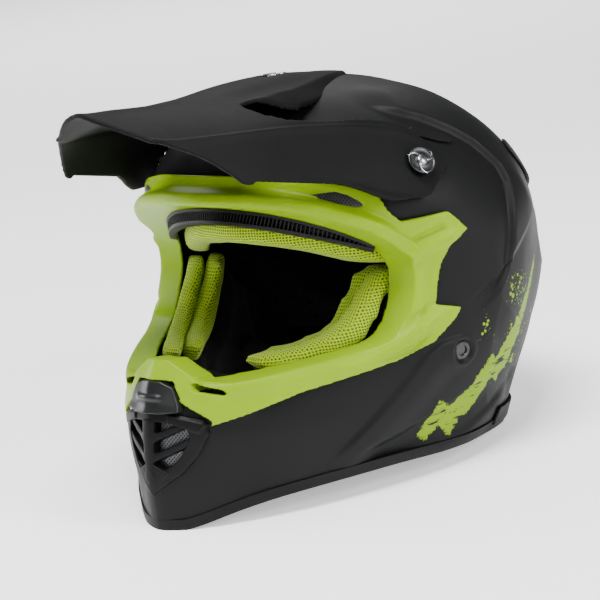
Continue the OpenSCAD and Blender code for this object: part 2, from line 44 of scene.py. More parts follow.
# The angle between the worn position and the rim, and the two shifts that bring the rim to z = 0.
RAKE = math.radians(10.5)
COS, SIN = math.cos(RAKE), math.sin(RAKE)
CHIN_EDGE = 158.0
MIDDLE_Y = 10.18
# Height of the crown, and where the dome begins.
STD_H = 257.0
CAP_Z = 165.0
BEAD_H = 6.5
SHELL_T = 4.0
TRIM_T = 3.3
LIP_DEPTH = 12.0
# Offsets of the layers inside the shell.
LINER_OUT = -4.4
CROWN_IN = LINER_OUT - 25.0
JAW_IN = LINER_OUT - 11.0
CHEEK_OUT = JAW_IN - 0.4
CHEEK_IN = CHEEK_OUT - 34.0
# Gap under a piece that lies on the shell, and the holes for fasteners.
REST_GAP = 0.3
SCREW_HOLE, RIVET_HOLE = 6.3, 4.3
# Half the length of a cutter that goes through both sides, and where a side pad begins.
SPAN = 200.0
PAD_INNER = 10.0
SIDES = {1: "left", -1: "right"}


def to_rim(points):
    """Worn position in millimetres to the frame in metres."""
    p = np.asarray(points, float)
    y = p[..., 1] * COS + p[..., 2] * SIN + MIDDLE_Y
    z = -p[..., 1] * SIN + p[..., 2] * COS - CHIN_EDGE * SIN
    return np.stack([p[..., 0], y, z], -1) * MM


# The shell's form: height, half width, reach to the front and reach to the back.
FORM = np.array([[-40, 78, 146, 84], [0, 88, 158, 92], [30, 97, 163, 104], [60, 106, 165, 106],
                 [80, 112, 163, 110], [100, 117, 156, 119], [118, 119, 146, 126],
                 [135, 120, 134, 126], [150, 120, 126, 124], [165, 119.5, 119, 123],
                 [190, 119.5, 119, 123]], float)
ROUND = np.array([[-40, 1.6], [60, 1.6], [80, 1.5], [100, 1.38], [135, 1.35], [150, 1.45],
                  [165, 1.65], [185, 1.95], [200, 2.0], [300, 2.0]])


def softened(table, sigma=6.0):
    """The columns of a table against its first one, resampled each millimetre and rounded off."""
    z = np.arange(table[0, 0], table[-1, 0] + 1)
    kernel = np.exp(-0.5 * (np.arange(-20, 21) / sigma) ** 2)
    kernel /= kernel.sum()
    columns = []
    for i in range(1, table.shape[1]):
        raw = np.pad(np.interp(z, table[:, 0], table[:, i]), 20, mode="edge")
        columns.append(np.convolve(raw, kernel, mode="valid"))
    return z, columns


FORM_Z, FORM_COLUMNS = softened(FORM)
ROUND_Z, ROUND_COLUMNS = softened(ROUND)


def skin(t, z, off=0.0):
    """A point on the shell's form: t turns from the front to the left, off millimetres outside."""
    t, z, off = np.broadcast_arrays(np.asarray(t, float), np.asarray(z, float), np.asarray(off, float))
    w, f, b = [np.interp(np.minimum(z, CAP_Z), FORM_Z, c) + off for c in FORM_COLUMNS]
    n = np.interp(z, ROUND_Z, ROUND_COLUMNS[0])
    rise = np.clip((z - CAP_Z) / (STD_H + off - CAP_Z), 0, 1)
    k = np.sqrt(1 - rise ** 2)
    front = np.cos(t) > 0
    n = np.where(front, n, 2.05)
    x = w * k * np.sign(np.sin(t)) * np.abs(np.sin(t)) ** (2 / n)
    y = np.where(front, -f * k, b * k ** 1.25) * np.abs(np.cos(t)) ** (2 / n)
    return np.stack([x, y, z], -1)


def skin_x(y, z, off=0.0):
    """Half width of the form at a side position."""
    y, z = np.asarray(y, float), np.asarray(z, float)
    w, f, b = [np.interp(np.minimum(z, CAP_Z), FORM_Z, c) + off for c in FORM_COLUMNS]
    rise = np.clip((z - CAP_Z) / (STD_H + off - CAP_Z), 0, 1)
    k = np.sqrt(1 - rise ** 2)
    n = np.where(y < 0, np.interp(z, ROUND_Z, ROUND_COLUMNS[0]), 2.05)
    reach = np.where(y < 0, f * k, b * k ** 1.25)
    ratio = np.clip(np.abs(y) / np.maximum(reach, 1e-6), 0, 1)
    return w * k * (1 - ratio ** n) ** (1 / n)


# ------------------------------------------------------------------ mesh helpers
def mesh_object(name, verts, faces, smooth=True):
    """A new object from vertices in metres and faces."""
    mesh = bpy.data.meshes.new(name)
    mesh.from_pydata([tuple(v) for v in verts], [], [tuple(f) for f in faces])
    mesh.validate()
    mesh.update()
    if smooth:
        mesh.polygons.foreach_set("use_smooth", [True] * len(mesh.polygons))
    return linked(name, mesh)


def linked(name, data):
    """A new object that shows some data, put in the scene."""
    obj = bpy.data.objects.new(name, data)
    bpy.context.scene.collection.objects.link(obj)
    return obj


def grid_faces(rows, columns, closed_columns=False, offset=0, flip=False):
    """Quads over a grid of vertices, row by row."""
    j, i = np.meshgrid(np.arange(rows - 1), np.arange(columns if closed_columns else columns - 1),
                       indexing="ij")
    k = (i + 1) % columns
    a, b = offset + j * columns + i, offset + j * columns + k
    quads = np.stack([a, b, b + columns, a + columns], -1).reshape(-1, 4)
    return quads[:, ::-1] if flip else quads


def tube_faces(rows, sides):
    """Faces of rings of vertices, closed at each end by a fan round one more vertex."""
    faces = [tuple(q) for q in grid_faces(rows, sides, True)]
    last = (rows - 1) * sides
    for i in range(sides):
        k = (i + 1) % sides
        faces += [(rows * sides, k, i), (rows * sides + 1, last + i, last + k)]
    return faces


def form_object(name, off, nt=360, bottom=-30.0, step=2.0, relief=None):
    """The form as a closed solid of nt columns; relief adds height to off where it is given."""
    arcs = np.linspace(0, math.radians(88.5), max(12, int(110 / step)))
    high = CAP_Z + (STD_H + off - CAP_Z) * np.sin(arcs)
    z = np.concatenate([np.arange(bottom, CAP_Z, step), high])
    tt, zz = np.meshgrid(np.arange(nt) * 2 * math.pi / nt, z)
    height = np.full_like(zz, off)
    if relief is not None:
        height = height + relief(skin(tt, zz, off))
        rise = np.clip((zz - CAP_Z) / (STD_H + off - CAP_Z), 0, 1)
        zz = np.where(zz > CAP_Z, CAP_Z + (STD_H + height - CAP_Z) * rise, zz)
    points = skin(tt, zz, height).reshape(-1, 3)
    verts = np.concatenate([points, [[0, 0, bottom], [0, 0, STD_H + off]]])
    obj = mesh_object(name, to_rim(verts), tube_faces(len(z), nt))
    fix_normals(obj)
    return obj


def fix_normals(obj):
    """Turns all faces of a closed mesh outwards."""
    bm = bmesh.new()
    bm.from_mesh(obj.data)
    bmesh.ops.recalc_face_normals(bm, faces=bm.faces)
    bm.to_mesh(obj.data)
    bm.free()


def prism(name, outline, low, high, axis, worn=True):
    """A closed prism: axis x takes [y, z] points, y takes [x, z] and z takes [x, y]."""
    pts = np.asarray(outline, float)
    n = len(pts)
    ends = []
    for level in (low, high):
        flat = np.full(n, float(level))
        columns = {"x": (flat, pts[:, 0], pts[:, 1]), "y": (pts[:, 0], flat, pts[:, 1]),
                   "z": (pts[:, 0], pts[:, 1], flat)}[axis]
        ends.append(np.stack(columns, -1))
    verts = np.concatenate(ends)
    verts = to_rim(verts) if worn else verts * MM
    faces = [tuple(range(n))[::-1], tuple(range(n, 2 * n))]
    faces += [(i, (i + 1) % n, n + (i + 1) % n, n + i) for i in range(n)]
    obj = mesh_object(name, verts, faces, smooth=False)
    fix_normals(obj)
    return obj


def side_prism(name, outline, side=0, inner=0):
    """A prism through both sides, or through the left (1) or right (-1) one beyond inner."""
    low = inner if side > 0 else -SPAN
    high = -inner if side < 0 else SPAN
    return prism(name, outline, low, high, "x")


def front_prism(name, outline):
    return prism(name, outline, -300, -100, "y")


def back_prism(name, outline):
    return prism(name, outline, 40, SPAN, "y")


def boolean(obj, others, operation="DIFFERENCE"):
    """Cuts, joins or keeps the overlap with each of the others, which are then removed."""
    for other in others:
        modify(obj, "BOOLEAN", object=other, operation=operation, solver="MANIFOLD")
        remove(other)
    return obj


def keep_within(obj, other):
    return boolean(obj, [other], "INTERSECT")


def hollow(obj, off, nt=300, bottom=-10, step=2, relief=None):
    """Takes away what lies inside the form at an offset."""
    return boolean(obj, [form_object("inside", off, nt, bottom, step, relief)])


def modify(obj, kind, **settings):
    """Adds a modifier with its settings and applies it."""
    mod = obj.modifiers.new(kind.lower(), kind)
    for key, value in settings.items():
        setattr(mod, key, value)
    apply_modifiers(obj)


def apply_modifiers(obj):
    """Replaces an object's mesh with the one its modifiers make."""
    deps = bpy.context.evaluated_depsgraph_get()
    deps.update()
    mesh = bpy.data.meshes.new_from_object(obj.evaluated_get(deps))
    old = obj.data
    obj.modifiers.clear()
    obj.data = mesh
    mesh.name = obj.name
    bpy.data.meshes.remove(old)


def remove(obj):
    mesh = obj.data
    bpy.data.objects.remove(obj)
    bpy.data.meshes.remove(mesh)


def get_points(obj):
    """An object's vertices as an array of rows."""
    co = np.zeros(len(obj.data.vertices) * 3)
    obj.data.vertices.foreach_get("co", co)
    return co.reshape(-1, 3)


def set_points(obj, points):
    obj.data.vertices.foreach_set("co", np.asarray(points, float).ravel())
    obj.data.update()


def remesh(obj, voxel, smooth_steps=2):
    """Rebuilds a solid with even small faces, which rounds its edges as moulding does."""
    modify(obj, "REMESH", mode="VOXEL", voxel_size=voxel * MM)
    modify(obj, "SMOOTH", factor=0.5, iterations=smooth_steps)
    shade(obj)
    return obj


def shade(obj, angle=None):
    """Smooth shading, with edges sharper than angle degrees left sharp."""
    obj.data.polygons.foreach_set("use_smooth", [True] * len(obj.data.polygons))
    if angle is not None:
        obj.data.set_sharp_from_angle(angle=math.radians(angle))
    obj.data.update()


def bevel(obj, width, segments, angle):
    modify(obj, "BEVEL", width=width * MM, segments=segments, limit_method="ANGLE",
           angle_limit=math.radians(angle), harden_normals=False)
    shade(obj, 40)
    return obj


def polyline_distance(y, z, line):
    """Distance to a line of [y, z] points, the side it is on (left is +) and how far along."""
    line = np.asarray(line, float)
    best = np.full(np.shape(y), 1e9)
    side = np.zeros(np.shape(y))
    along = np.zeros(np.shape(y))
    total = 0.0
    for a, b in zip(line[:-1], line[1:]):
        d = b - a
        length = math.hypot(*d)
        u = np.clip(((y - a[0]) * d[0] + (z - a[1]) * d[1]) / length ** 2, 0, 1)
        dy, dz = y - a[0] - u * d[0], z - a[1] - u * d[1]
        dist = np.hypot(dy, dz)
        closer = dist < best
        best = np.where(closer, dist, best)
        side = np.where(closer, np.sign(d[0] * dz - d[1] * dy), side)
        along = np.where(closer, total + u * length, along)
        total += length
    return best, side, along / total


def crease(p, line):
    """Signed distance from a side line, left of it positive, and how far along, 0 to 1."""
    d, side, along = polyline_distance(p[..., 1], p[..., 2], line)
    return d * side, along


def ramp(v, low, high):
    """0 below low and 1 above high, with a soft rise between."""
    u = np.clip((v - low) / (high - low), 0, 1)
    return u * u * (3 - 2 * u)


def hump(v, low, full, easing, high):
    """Rises from low to full and falls again from easing to high."""
    return ramp(v, low, full) * (1 - ramp(v, easing, high))


def rounded(outline, rounds=2, keep=()):
    """A closed outline with its corners cut back softly; corners listed in keep stay sharp."""
    pts = [np.array(p, float) for p in outline]
    sharp = {tuple(outline[i]) for i in keep}
    for _ in range(rounds):
        new = []
        for i, p in enumerate(pts):
            q = pts[(i + 1) % len(pts)]
            if tuple(p) in sharp:
                new.append(p)
            else:
                new.append(p * 0.75 + q * 0.25)
            if tuple(q) not in sharp:
                new.append(p * 0.25 + q * 0.75)
        pts = new
    return [tuple(p) for p in pts]


def grown(outline, by):
    """A closed outline moved outwards by a distance, with mitred corners."""
    pts = np.asarray(outline, float)
    nxt, prv = np.roll(pts, -1, 0), np.roll(pts, 1, 0)
    area = np.sum(pts[:, 0] * nxt[:, 1] - nxt[:, 0] * pts[:, 1])
    turn = 1 if area > 0 else -1
    def normal(a, b):
        d = b - a
        d /= np.linalg.norm(d, axis=1)[:, None]
        return np.stack([d[:, 1], -d[:, 0]], -1) * turn
    n1, n2 = normal(prv, pts), normal(pts, nxt)
    mean = n1 + n2
    mean /= np.linalg.norm(mean, axis=1)[:, None]
    scale = by / np.clip(np.sum(mean * n1, axis=1), 0.4, 1)
    return [tuple(p) for p in pts + mean * scale[:, None]]


def mirrored(points):
    """A closed outline from its left half."""
    return list(points) + [(-p[0], p[1]) for p in reversed(points)]


EYEPORT = rounded([(-230, 181), (-118, 181), (-103, 176), (-75, 164), (-59, 154), (-54, 144),
                   (-54, 130), (-61, 111), (-71, 103), (-111, 93), (-138, 86), (-146, 85),
                   (-230, 100)], 2)
TRIM = [(-230, 199), (-116, 199), (-78, 191), (-72, 179), (-65, 173), (-40, 178), (-27, 168),
        (-39, 156), (-41, 125), (-27, 123), (-30, 117), (-47, 99), (-113, 79), (-154, 60),
        (-163, 70), (-230, 84)]
RIM = [(-150, 0), (-128, 9), (-100, 13), (-50, 14), (0, 11), (40, 9), (72, 2), (76, 0)]
NOSE_NOTCH = mirrored([(33, 55), (33, 64.5), (18.2, 73.8), (13, 85.6)])
MOUTH = mirrored([(13, 67.5), (33, 63), (22, 38), (0.01, 21)])
MOUTH_MESH = {"nt": 900, "bottom": 0, "step": 0.9}
NOSE_CAP = [(19, 67.5), (18, 73), (12.4, 85.4)]
BROW_WINDOW = [(-101, 187), (-91, 189), (-80, 181), (-90, 182)]
NOSE_SLOT = [(20.5, 85.0), (37.5, 81.4), (40, 77.8), (23, 80.4)]
# The corners of TRIM that stay sharp.
TRIM_SHARP = (3, 4, 5, 6, 8, 9, 10, 12, 13, 14)
SCREW_AT = (-54.0, 206.0)
TOP_AT = (-60.0, 252.8)
RIVET_AT = (-22.0, 97.0)
ARM_GAP = 8.0

# Creases of the shell, as [y, z] seen from the side.
CREST = [(-51, 236), (-27, 228), (-13, 221), (-2, 214), (11, 201), (12, 193), (8, 177), (6, 157),
         (3, 145), (-5, 131), (-16, 117)]
BRANCH = [(50, 181), (30, 166), (10, 150)]
BLADE = [(-19, 109), (-37, 104), (-46, 97), (-71, 67), (-99, 34)]
VALLEY = [(54, 81), (6, 84), (-22, 68), (-56, 52), (-86, 40)]
FLARE = [(60, 77), (20, 60), (-8, 45), (-25, 40), (-60, 38)]


def under_rim(name, up):
    """Everything below the rim, raised by up, as a solid to cut with."""
    line = [(p[0], p[1] + up) for p in rounded_line(RIM, 2)]
    outline = [(-300, up)] + line + [(300, up), (300, -80), (-300, -80)]
    shifted = [(y + MIDDLE_Y, z) for y, z in outline]
    return prism(name, shifted, -200, 200, "x", worn=False)


def rounded_line(line, rounds):
    """An open line with its corners cut back softly and its ends kept."""
    pts = [np.array(p, float) for p in line]
    for _ in range(rounds):
        new = [pts[0]]
        for p, q in zip(pts[:-1], pts[1:]):
            new += [p * 0.75 + q * 0.25, p * 0.25 + q * 0.75]
        pts = new + [pts[-1]]
    return [tuple(p) for p in pts]


def scaled_mouth(grow):
    """The mouth vent's outline, larger by about grow millimetres all round."""
    s = 1 + grow / 12
    return [(x * s, 48 + (z - 48) * s) for x, z in MOUTH]


def place(point, z_axis, x_hint=(0, 0, 1)):
    """A 4x4 matrix with its z along an axis, in the worn position, brought into the frame."""
    tip = Matrix.Rotation(-RAKE, 3, "X")
    z = (tip @ Vector(z_axis)).normalized()
    x = tip @ Vector(x_hint)
    x = (x - z * x.dot(z)).normalized()
    y = z.cross(x)
    m = Matrix((x, y, z)).transposed().to_4x4()
    m.translation = Vector(to_rim(point))
    return m


def side_axis(s, tilt, turn):
    """An axis out of the left (1) or right (-1) side, tilt degrees from upright."""
    tilt, turn = math.radians(tilt), math.radians(turn)
    return (s * math.sin(tilt) * math.cos(turn), math.sin(tilt) * math.sin(turn), math.cos(tilt))


def side_screw_place(s):
    return place((s * float(skin_x(*SCREW_AT, ARM_GAP)), *SCREW_AT), side_axis(s, 61, -28))


def top_screw_place():
    tilt = math.radians(12)
    return place((0, *TOP_AT), (0, -math.sin(tilt), math.cos(tilt)), (1, 0, 0))


def rivet_place(s):
    return place((s * float(skin_x(*RIVET_AT)), *RIVET_AT), side_axis(s, 98, -17))


def lathe(name, profile, sides=64, matrix=None):
    """A turned solid from [radius, height] points in millimetres, closed at both ends."""
    t = np.arange(sides) * 2 * math.pi / sides
    verts = [(r * math.cos(a), r * math.sin(a), h) for r, h in profile for a in t]
    verts += [(0, 0, profile[0][1]), (0, 0, profile[-1][1])]
    obj = mesh_object(name, np.asarray(verts) * MM, tube_faces(len(profile), sides))
    fix_normals(obj)
    shade(obj, 35)
    if matrix is not None:
        obj.data.transform(matrix)
    return obj


def cylinder(name, radius, low, high, matrix):
    return lathe(name, [(radius, low), (radius, high)], 48, matrix)


def block(name, corners):
    """A small block from eight corners in metres, counted along its three edges in turn."""
    faces = [(0, 1, 3, 2), (4, 6, 7, 5), (0, 4, 5, 1), (2, 3, 7, 6), (0, 2, 6, 4), (1, 5, 7, 3)]
    obj = mesh_object(name, corners, faces, smooth=False)
    fix_normals(obj)
    return obj


def join(name, parts):
    """Puts several objects' meshes into one object, each with its own material."""
    bm = bmesh.new()
    materials = []
    for part in parts:
        start = len(bm.faces)
        bm.from_mesh(part.data)
        bm.faces.ensure_lookup_table()
        materials += [m for m in part.data.materials if m not in materials]
        lookup = [materials.index(m) for m in part.data.materials] or [0]
        for f in bm.faces[start:]:
            f.material_index = lookup[min(f.material_index, len(lookup) - 1)]
    mesh = bpy.data.meshes.new(name)
    bm.to_mesh(mesh)
    bm.free()
    for m in materials:
        mesh.materials.append(m)
    obj = linked(name, mesh)
    for part in parts:
        remove(part)
    return obj


def finish_piece(obj, body, slot_name, material, *replaced):
    """Gives a piece its material, the body it rides on and the CAD nodes it shows; slot_name is not
    used.
    """
    if material is not None:
        obj.data.materials.clear()
        obj.data.materials.append(material)
    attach(obj, body)
    if replaced:
        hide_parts(*replaced)
    return obj


# ------------------------------------------------------------------ the shell
def shell_relief(p):
    """Millimetres that the shell's creases stand out from the plain form."""
    x, y, z = p[..., 0], p[..., 1], p[..., 2]
    out = flare_relief(p)
    wide = ramp(np.abs(x), 30, 60)
    # The crest over the ear: the surface behind it stands higher, with a lit chamfer.
    d, along = crease(p, CREST)
    out += wide * 3.6 * hump(along, 0.0, 0.12, 0.86, 1.0) * hump(d, -0.3, 3.2, 16, 55)
    # The crease that runs back from the crest.
    d, along = crease(p, BRANCH)
    out += wide * 2.2 * ramp(along, 0.0, 0.3) * hump(-d, -1, 5, 12, 45)
    # The blade edge that runs down to the jaw, and the valley under it.
    d, along = crease(p, BLADE)
    out += wide * 2.2 * hump(along, 0.0, 0.15, 0.8, 1.0) * hump(d, -0.5, 3.5, 9, 26)
    d, along = crease(p, VALLEY)
    out -= wide * 2.4 * hump(along, 0.0, 0.1, 0.85, 1.0) * hump(d, -1, 4, 12, 26)
    # The back comes to a blunt edge where the side creases meet.
    out += 5.0 * np.clip(1 - np.abs(z - 150 + 0.10 * y) / 34, 0, 1) * ramp(y, 25, 95)
    # The chin bar's centre ridge and the scoop beside the mouth vent.
    front = 1 - ramp(y, -120, -95)
    out += 1.4 * (1 - ramp(np.abs(x), 3, 16)) * front * hump(z, -20, 5, 30, 60)
    out -= 1.8 * np.exp(-(((np.abs(x) - 44) / 9) ** 2)) * front * hump(z, 12, 34, 60, 74)
    # A recess for the strap's rivet, with a raised ring round it.
    rivet = np.hypot(y - RIVET_AT[0], z - RIVET_AT[1])
    out -= 1.5 * (1 - ramp(rivet, 5.5, 7.2)) * wide
    out += 0.5 * np.exp(-(((rivet - 8.4) / 1.1) ** 2)) * wide
    return out


def flare_relief(p):
    """The flare down to the shell's lower edge, which the bead follows."""
    d, along = crease(p, FLARE)
    wide = ramp(np.abs(p[..., 0]), 30, 60)
    return wide * 1.8 * hump(along, 0.05, 0.3, 0.7, 1.0) * hump(d, -6, 0, 0.5, 14)


def build_shell(material):
    obj = form_object("shell", 0.0, nt=760, bottom=-30, step=0.85, relief=shell_relief)
    hollow(obj, -SHELL_T, nt=180, bottom=-34, step=3)
    boolean(obj, [side_prism("port", grown(EYEPORT, 7)), under_rim("foot", BEAD_H),
                  front_prism("mouth", scaled_mouth(-1))])
    for s in (-1, 1):
        boolean(obj, [cylinder("hole", SCREW_HOLE, -30, 30, side_screw_place(s)),
                      cylinder("hole", RIVET_HOLE, -20, 20, rivet_place(s)),
                      back_prism("window", rear_window(s, 0.3))])
    boolean(obj, [cylinder("hole", SCREW_HOLE, -30, 30, top_screw_place())])
    shade(obj, 45)
    return finish_piece(obj, "helmet", "shell_paint", material, "outer_shell")


def rear_window(s, grow):
    """The outline of the vent window behind the left (1) or right (-1) ear, grown by a gap."""
    pts = [(18 - grow, 150 - grow), (50 + grow, 156 - grow), (50 + grow, 168 + grow),
           (18 - grow, 166 + grow)]
    return [(s * x, z) for x, z in pts]


def build_bead(material):
    obj = form_object("rim_bead", 1.2, nt=760, bottom=-30, step=1, relief=flare_relief)
    hollow(obj, -SHELL_T - 1.2, nt=180, bottom=-34, step=3)
    boolean(obj, [under_rim("foot", 0.0)])
    keep_within(obj, under_rim("band", BEAD_H - 0.2))
    shade(obj, 45)
    return finish_piece(obj, "helmet", "rubber_black", material, "edge_bead")


# ------------------------------------------------------------------ the eyeport's trim
BAND_RIDGE = [(-150, 82), (-111, 89), (-80, 96), (-58, 107), (-42, 118), (-30, 119)]
# Folds: height, the distances between which the flank falls, the share of the line over which
# the fold rises, the share from which it fades, and the line itself.
TRIM_FOLDS = [
    (5.2, 1.5, 7.5, 0, 0.9, [(-230, 184), (-116, 184), (-98, 179), (-78, 170), (-62, 160)]),
    (-0.9, 1.5, 5, 0, 0.85, [(-230, 194), (-112, 194), (-90, 186), (-76, 178)]),
    (2.0, 0.3, 6.0, 0, 0.75, [(-62, 150), (-47, 159), (-29, 167)]),
    (-2.2, 0.7, 2.6, 0.1, 0.9, [(-57, 162), (-41, 170)]),
    (-1.2, 0.8, 4.0, 0.2, 0.8, [(-47, 150), (-48, 124)]),
    (-1.5, 0.8, 2.4, 0.2, 0.8, [(-44, 112), (-54, 101), (-74, 93)]),
    (2.6, 6.0, 9.0, 0.2, 0.8, [(-103, 176), (-75, 164), (-59, 154), (-54, 144), (-54, 130),
                               (-61, 111), (-71, 103)])]
# The louvre's y, its lower height and its upper height, and a height to start the search from.
LOUVRE = [[-130, 171.5, 180], [-118, 171.5, 180], [-103, 167.0, 175.4], [-84, 161.0, 167.5],
          [-62, 154, 156.5]]
LOUVRE_Z = 175.0


def trim_relief(p):
    """Millimetres that the trim's folds stand out from its plain form."""
    y, z = p[..., 1], p[..., 2]
    # The band's ridge, with a face above it that leans in to the opening.
    d, along = crease(p, BAND_RIDGE)
    face = np.where(d > 0, 2.8 - 4.6 * ramp(d, 0.3, 7), 2.8 * (1 - ramp(-d, 0.3, 8)))
    out = face * (1 - ramp(along, 0.85, 1.0)) * (1 - ramp(d, 7, 10))
    for height, near, far, rise, fade, line in TRIM_FOLDS:
        d, _, along = polyline_distance(y, z, line)
        fold = height * (1 - ramp(d, near, far)) * (1 - ramp(along, fade, 1.0))
        out += fold * ramp(along, 0, rise) if rise else fold
    return out


def build_trim(material):
    plate = form_object("trim", REST_GAP + TRIM_T, nt=640, bottom=30, step=1.0, relief=trim_relief)
    lip = linked("lip", plate.data.copy())
    hollow(plate, REST_GAP, nt=240, bottom=20)
    keep_within(plate, side_prism("outline", rounded(TRIM, 1, keep=TRIM_SHARP)))
    hollow(lip, -LIP_DEPTH, nt=240, bottom=20)
    keep_within(lip, side_prism("ring", grown(EYEPORT, 3.0)))
    boolean(plate, [lip], "UNION")
    bridge = form_object("bridge", REST_GAP + TRIM_T + 0.6, nt=360, bottom=60, step=1.5)
    hollow(bridge, -LIP_DEPTH, nt=240, bottom=50)
    keep_within(bridge, front_prism("nose", mirrored([(7.5, 97), (22, 88), (24, 80)])))
    boolean(plate, [side_prism("opening", EYEPORT)])
    boolean(plate, [bridge], "UNION")
    boolean(plate, [front_prism("notch", NOSE_NOTCH),
                    prism("back", [(-300, -100), (300, -100), (300, 400), (-300, 400)],
                          60, 300, "y")])
    for s in (-1, 1):
        boolean(plate, [side_prism("window", rounded(BROW_WINDOW, 1), s),
                        front_prism("slot", [(s * x, z) for x, z in NOSE_SLOT])])
    plate.name = "eyeport_trim_cover"
    remesh(plate, 0.8, 3)
    return finish_piece(plate, "helmet", "neon_plastic", material, "eyeport_trim")


def build_brow_mesh(s, material):
    name = SIDES[s]
    outer = REST_GAP + TRIM_T - 0.6
    obj = form_object("vent_screen_" + name, outer, nt=360, bottom=100, step=1.5)
    hollow(obj, outer - 1.0, nt=360, bottom=90, step=1.5)
    keep_within(obj, side_prism("outline", grown(BROW_WINDOW, 1.0), s))
    shade(obj, 40)
    return finish_piece(obj, "helmet", "steel_mesh", material, "brow_mesh_" + name)


def swept_band(name, off_out, off_in, line, half_turn, steps=220):
    """A band inside the form whose lower and upper heights follow side lines of [y, z]."""
    t = np.linspace(-half_turn, half_turn, steps)
    rows = []
    for off, level in ((off_out, 0), (off_out, 1), (off_in, 1), (off_in, 0)):
        z = np.full(steps, LOUVRE_Z)
        for _ in range(6):
            y = skin(t, z, off)[:, 1]
            z = np.interp(y, line[:, 0], line[:, 1 + level])
        rows.append(skin(t, z, off))
    verts = np.stack(rows, 1).reshape(-1, 3)
    faces = [tuple(q) for q in grid_faces(steps, 4, True)]
    faces += [(0, 1, 2, 3), tuple(4 * (steps - 1) + i for i in (3, 2, 1, 0))]
    obj = mesh_object(name, to_rim(verts), faces, smooth=False)
    fix_normals(obj)
    return obj


def build_louvre(material):
    """The dark slotted band that shows under the hood, its ribs and its ledge."""
    line = np.array(LOUVRE, float)
    half, count = math.radians(50), 84
    ledge, top = line.copy(), line.copy()
    ledge[:, 2] = line[:, 1] + 1.6
    top[:, 1] = line[:, 2] - 1.4
    parts = [swept_band("back", -10.5, -11.5, line, half),
             swept_band("ledge", -6.5, -11.5, ledge, half),
             swept_band("top", -6.5, -11.5, top, half)]
    for i in range(count):
        t = -half + 2 * half * (i + 0.5) / count
        z = LOUVRE_Z
        for _ in range(6):
            y = float(skin(t, z, -8)[1])
            low, high = np.interp(y, line[:, 0], line[:, 1]), np.interp(y, line[:, 0], line[:, 2])
            z = 0.5 * (low + high)
        corners = [skin(t + turn, level, off) for level in (low + 0.6, high - 0.6)
                   for off in (-7.0, -10.8) for turn in (-0.0026, 0.0026)]
        parts.append(block("rib", to_rim(np.array(corners))))
    obj = join("brow_louvre_band", parts)
    return finish_piece(obj, "helmet", "vent_plastic", material, "brow_louvre")


# ------------------------------------------------------------------ the peak
# Rows: y, centre height, ridge x, ridge height, lower x, lower height.
PEAK = np.array([[-218, 233, 24, 225, 28, 221], [-199, 233, 36.5, 217.5, 46, 210],
                 [-180, 234.5, 48, 219.5, 60, 201], [-160, 236, 58.5, 222, 72, 194.5],
                 [-130, 240.5, 67, 225, 79, 193.5], [-100, 246.5, 76, 226, 89, 193],
                 [-76, 251, 83, 225, 102, 184], [-54, 254, 91, 221.5, 112, 183],
                 [-32, 257, 99, 213, 118, 185], [-6, 259.5, 104, 204, 122, 188]], float)
PEAK_T = 2.6
ARM = [(-260, 300), (-260, 150), (-168, 170), (-160, 194.5), (-156, 197), (-104, 194.5),
       (-94, 191), (-80, 184.5), (-53, 187), (-31, 206.5), (-52, 228), (-60, 300)]
BESIDE_TONGUE = [(31, -117), (35, -131), (60, -129), (72, -104), (79, -78), (87, -54), (104, -30),
                 (140, 40), (8, 40), (17, -12), (28, -37), (40, -80), (37, -92), (33, -106)]
# Half the width of the tongue's flat top; past it the edge slopes down.
TONGUE = np.array([[-130, 60], [-112, 33], [-92, 29], [-80, 30], [-37, 20], [-12, 12]], float)


def peak_surface(u, y):
    """The peak's outer face: u runs from -1 at the right lower edge to 1 at the left one."""
    cols = [np.mean([np.interp(y + d, PEAK[:, 0], PEAK[:, i]) for d in (-12, -6, 0, 6, 12)], 0)
            for i in range(1, 6)]
    centre, ridge_x, ridge_z, low_x, low_z = cols
    side = np.abs(u)
    split = 0.74
    part = np.clip(side / split, 0, 1)
    turn = np.radians(78) * part
    facet = 0.8 * (1 - ramp(y, -200, -110))
    soft_part = np.sqrt(part ** 2 + 0.012) - 0.11 * (1 - part)
    top_x = ridge_x * (np.sin(turn) / math.sin(math.radians(78)) * (1 - facet) + part * facet)
    top_z = ridge_z + (centre - ridge_z) * (np.clip(np.cos(turn * 1.15), 0, 1) * (1 - facet)
                                            + (1 - soft_part) * facet)
    v = np.clip((side - split) / (1 - split), 0, 1)
    side_x = ridge_x + (low_x - ridge_x) * v + 6.0 * v * (1 - v)
    side_z = ridge_z + (low_z - ridge_z) * v
    x = np.where(side <= split, top_x, side_x)
    z = np.where(side <= split, top_z, side_z)
    bead = np.exp(-((side - 0.745) / 0.016) ** 2) * (1 - ramp(y, -60, -30))
    x, z = x + 0.9 * bead, z + 0.8 * bead
    # The arms' upper edge stands off the shell, and their lower edge turns out in a lip.
    lift = np.exp(-((side - 0.72) / 0.10) ** 2) * ramp(y, -110, -60)
    x, z = x + 1.4 * lift, z + 1.4 * lift
    x = x + 1.8 * ramp(v, 0.86, 1.0) * ramp(y, -160, -130)
    # The tongue stands up from the peak between two shallow troughs and has a raised keel.
    a = np.abs(x)
    back = ramp(y, -150, -95) * (1 - ramp(y, -60, -14))
    z = z + 2.4 * (1 - ramp(a, 9, 22)) * back - 1.6 * np.exp(-((a - 27) / 7) ** 2) * back
    slope = np.clip(a - np.interp(y, TONGUE[:, 0], TONGUE[:, 1]), 0, 11)
    z = z - 0.85 * slope * ramp(y, -122, -108) * (1 - ramp(side, 0.5, 0.6))
    keel = np.exp(-(a / 4.5) ** 2)
    z = z + 1.3 * keel * ramp(y, -214, -190) * (1 - ramp(y, -150, -120))
    return np.stack([np.sign(u) * x, y, z], -1)


PEAK_FRONT = -218.0


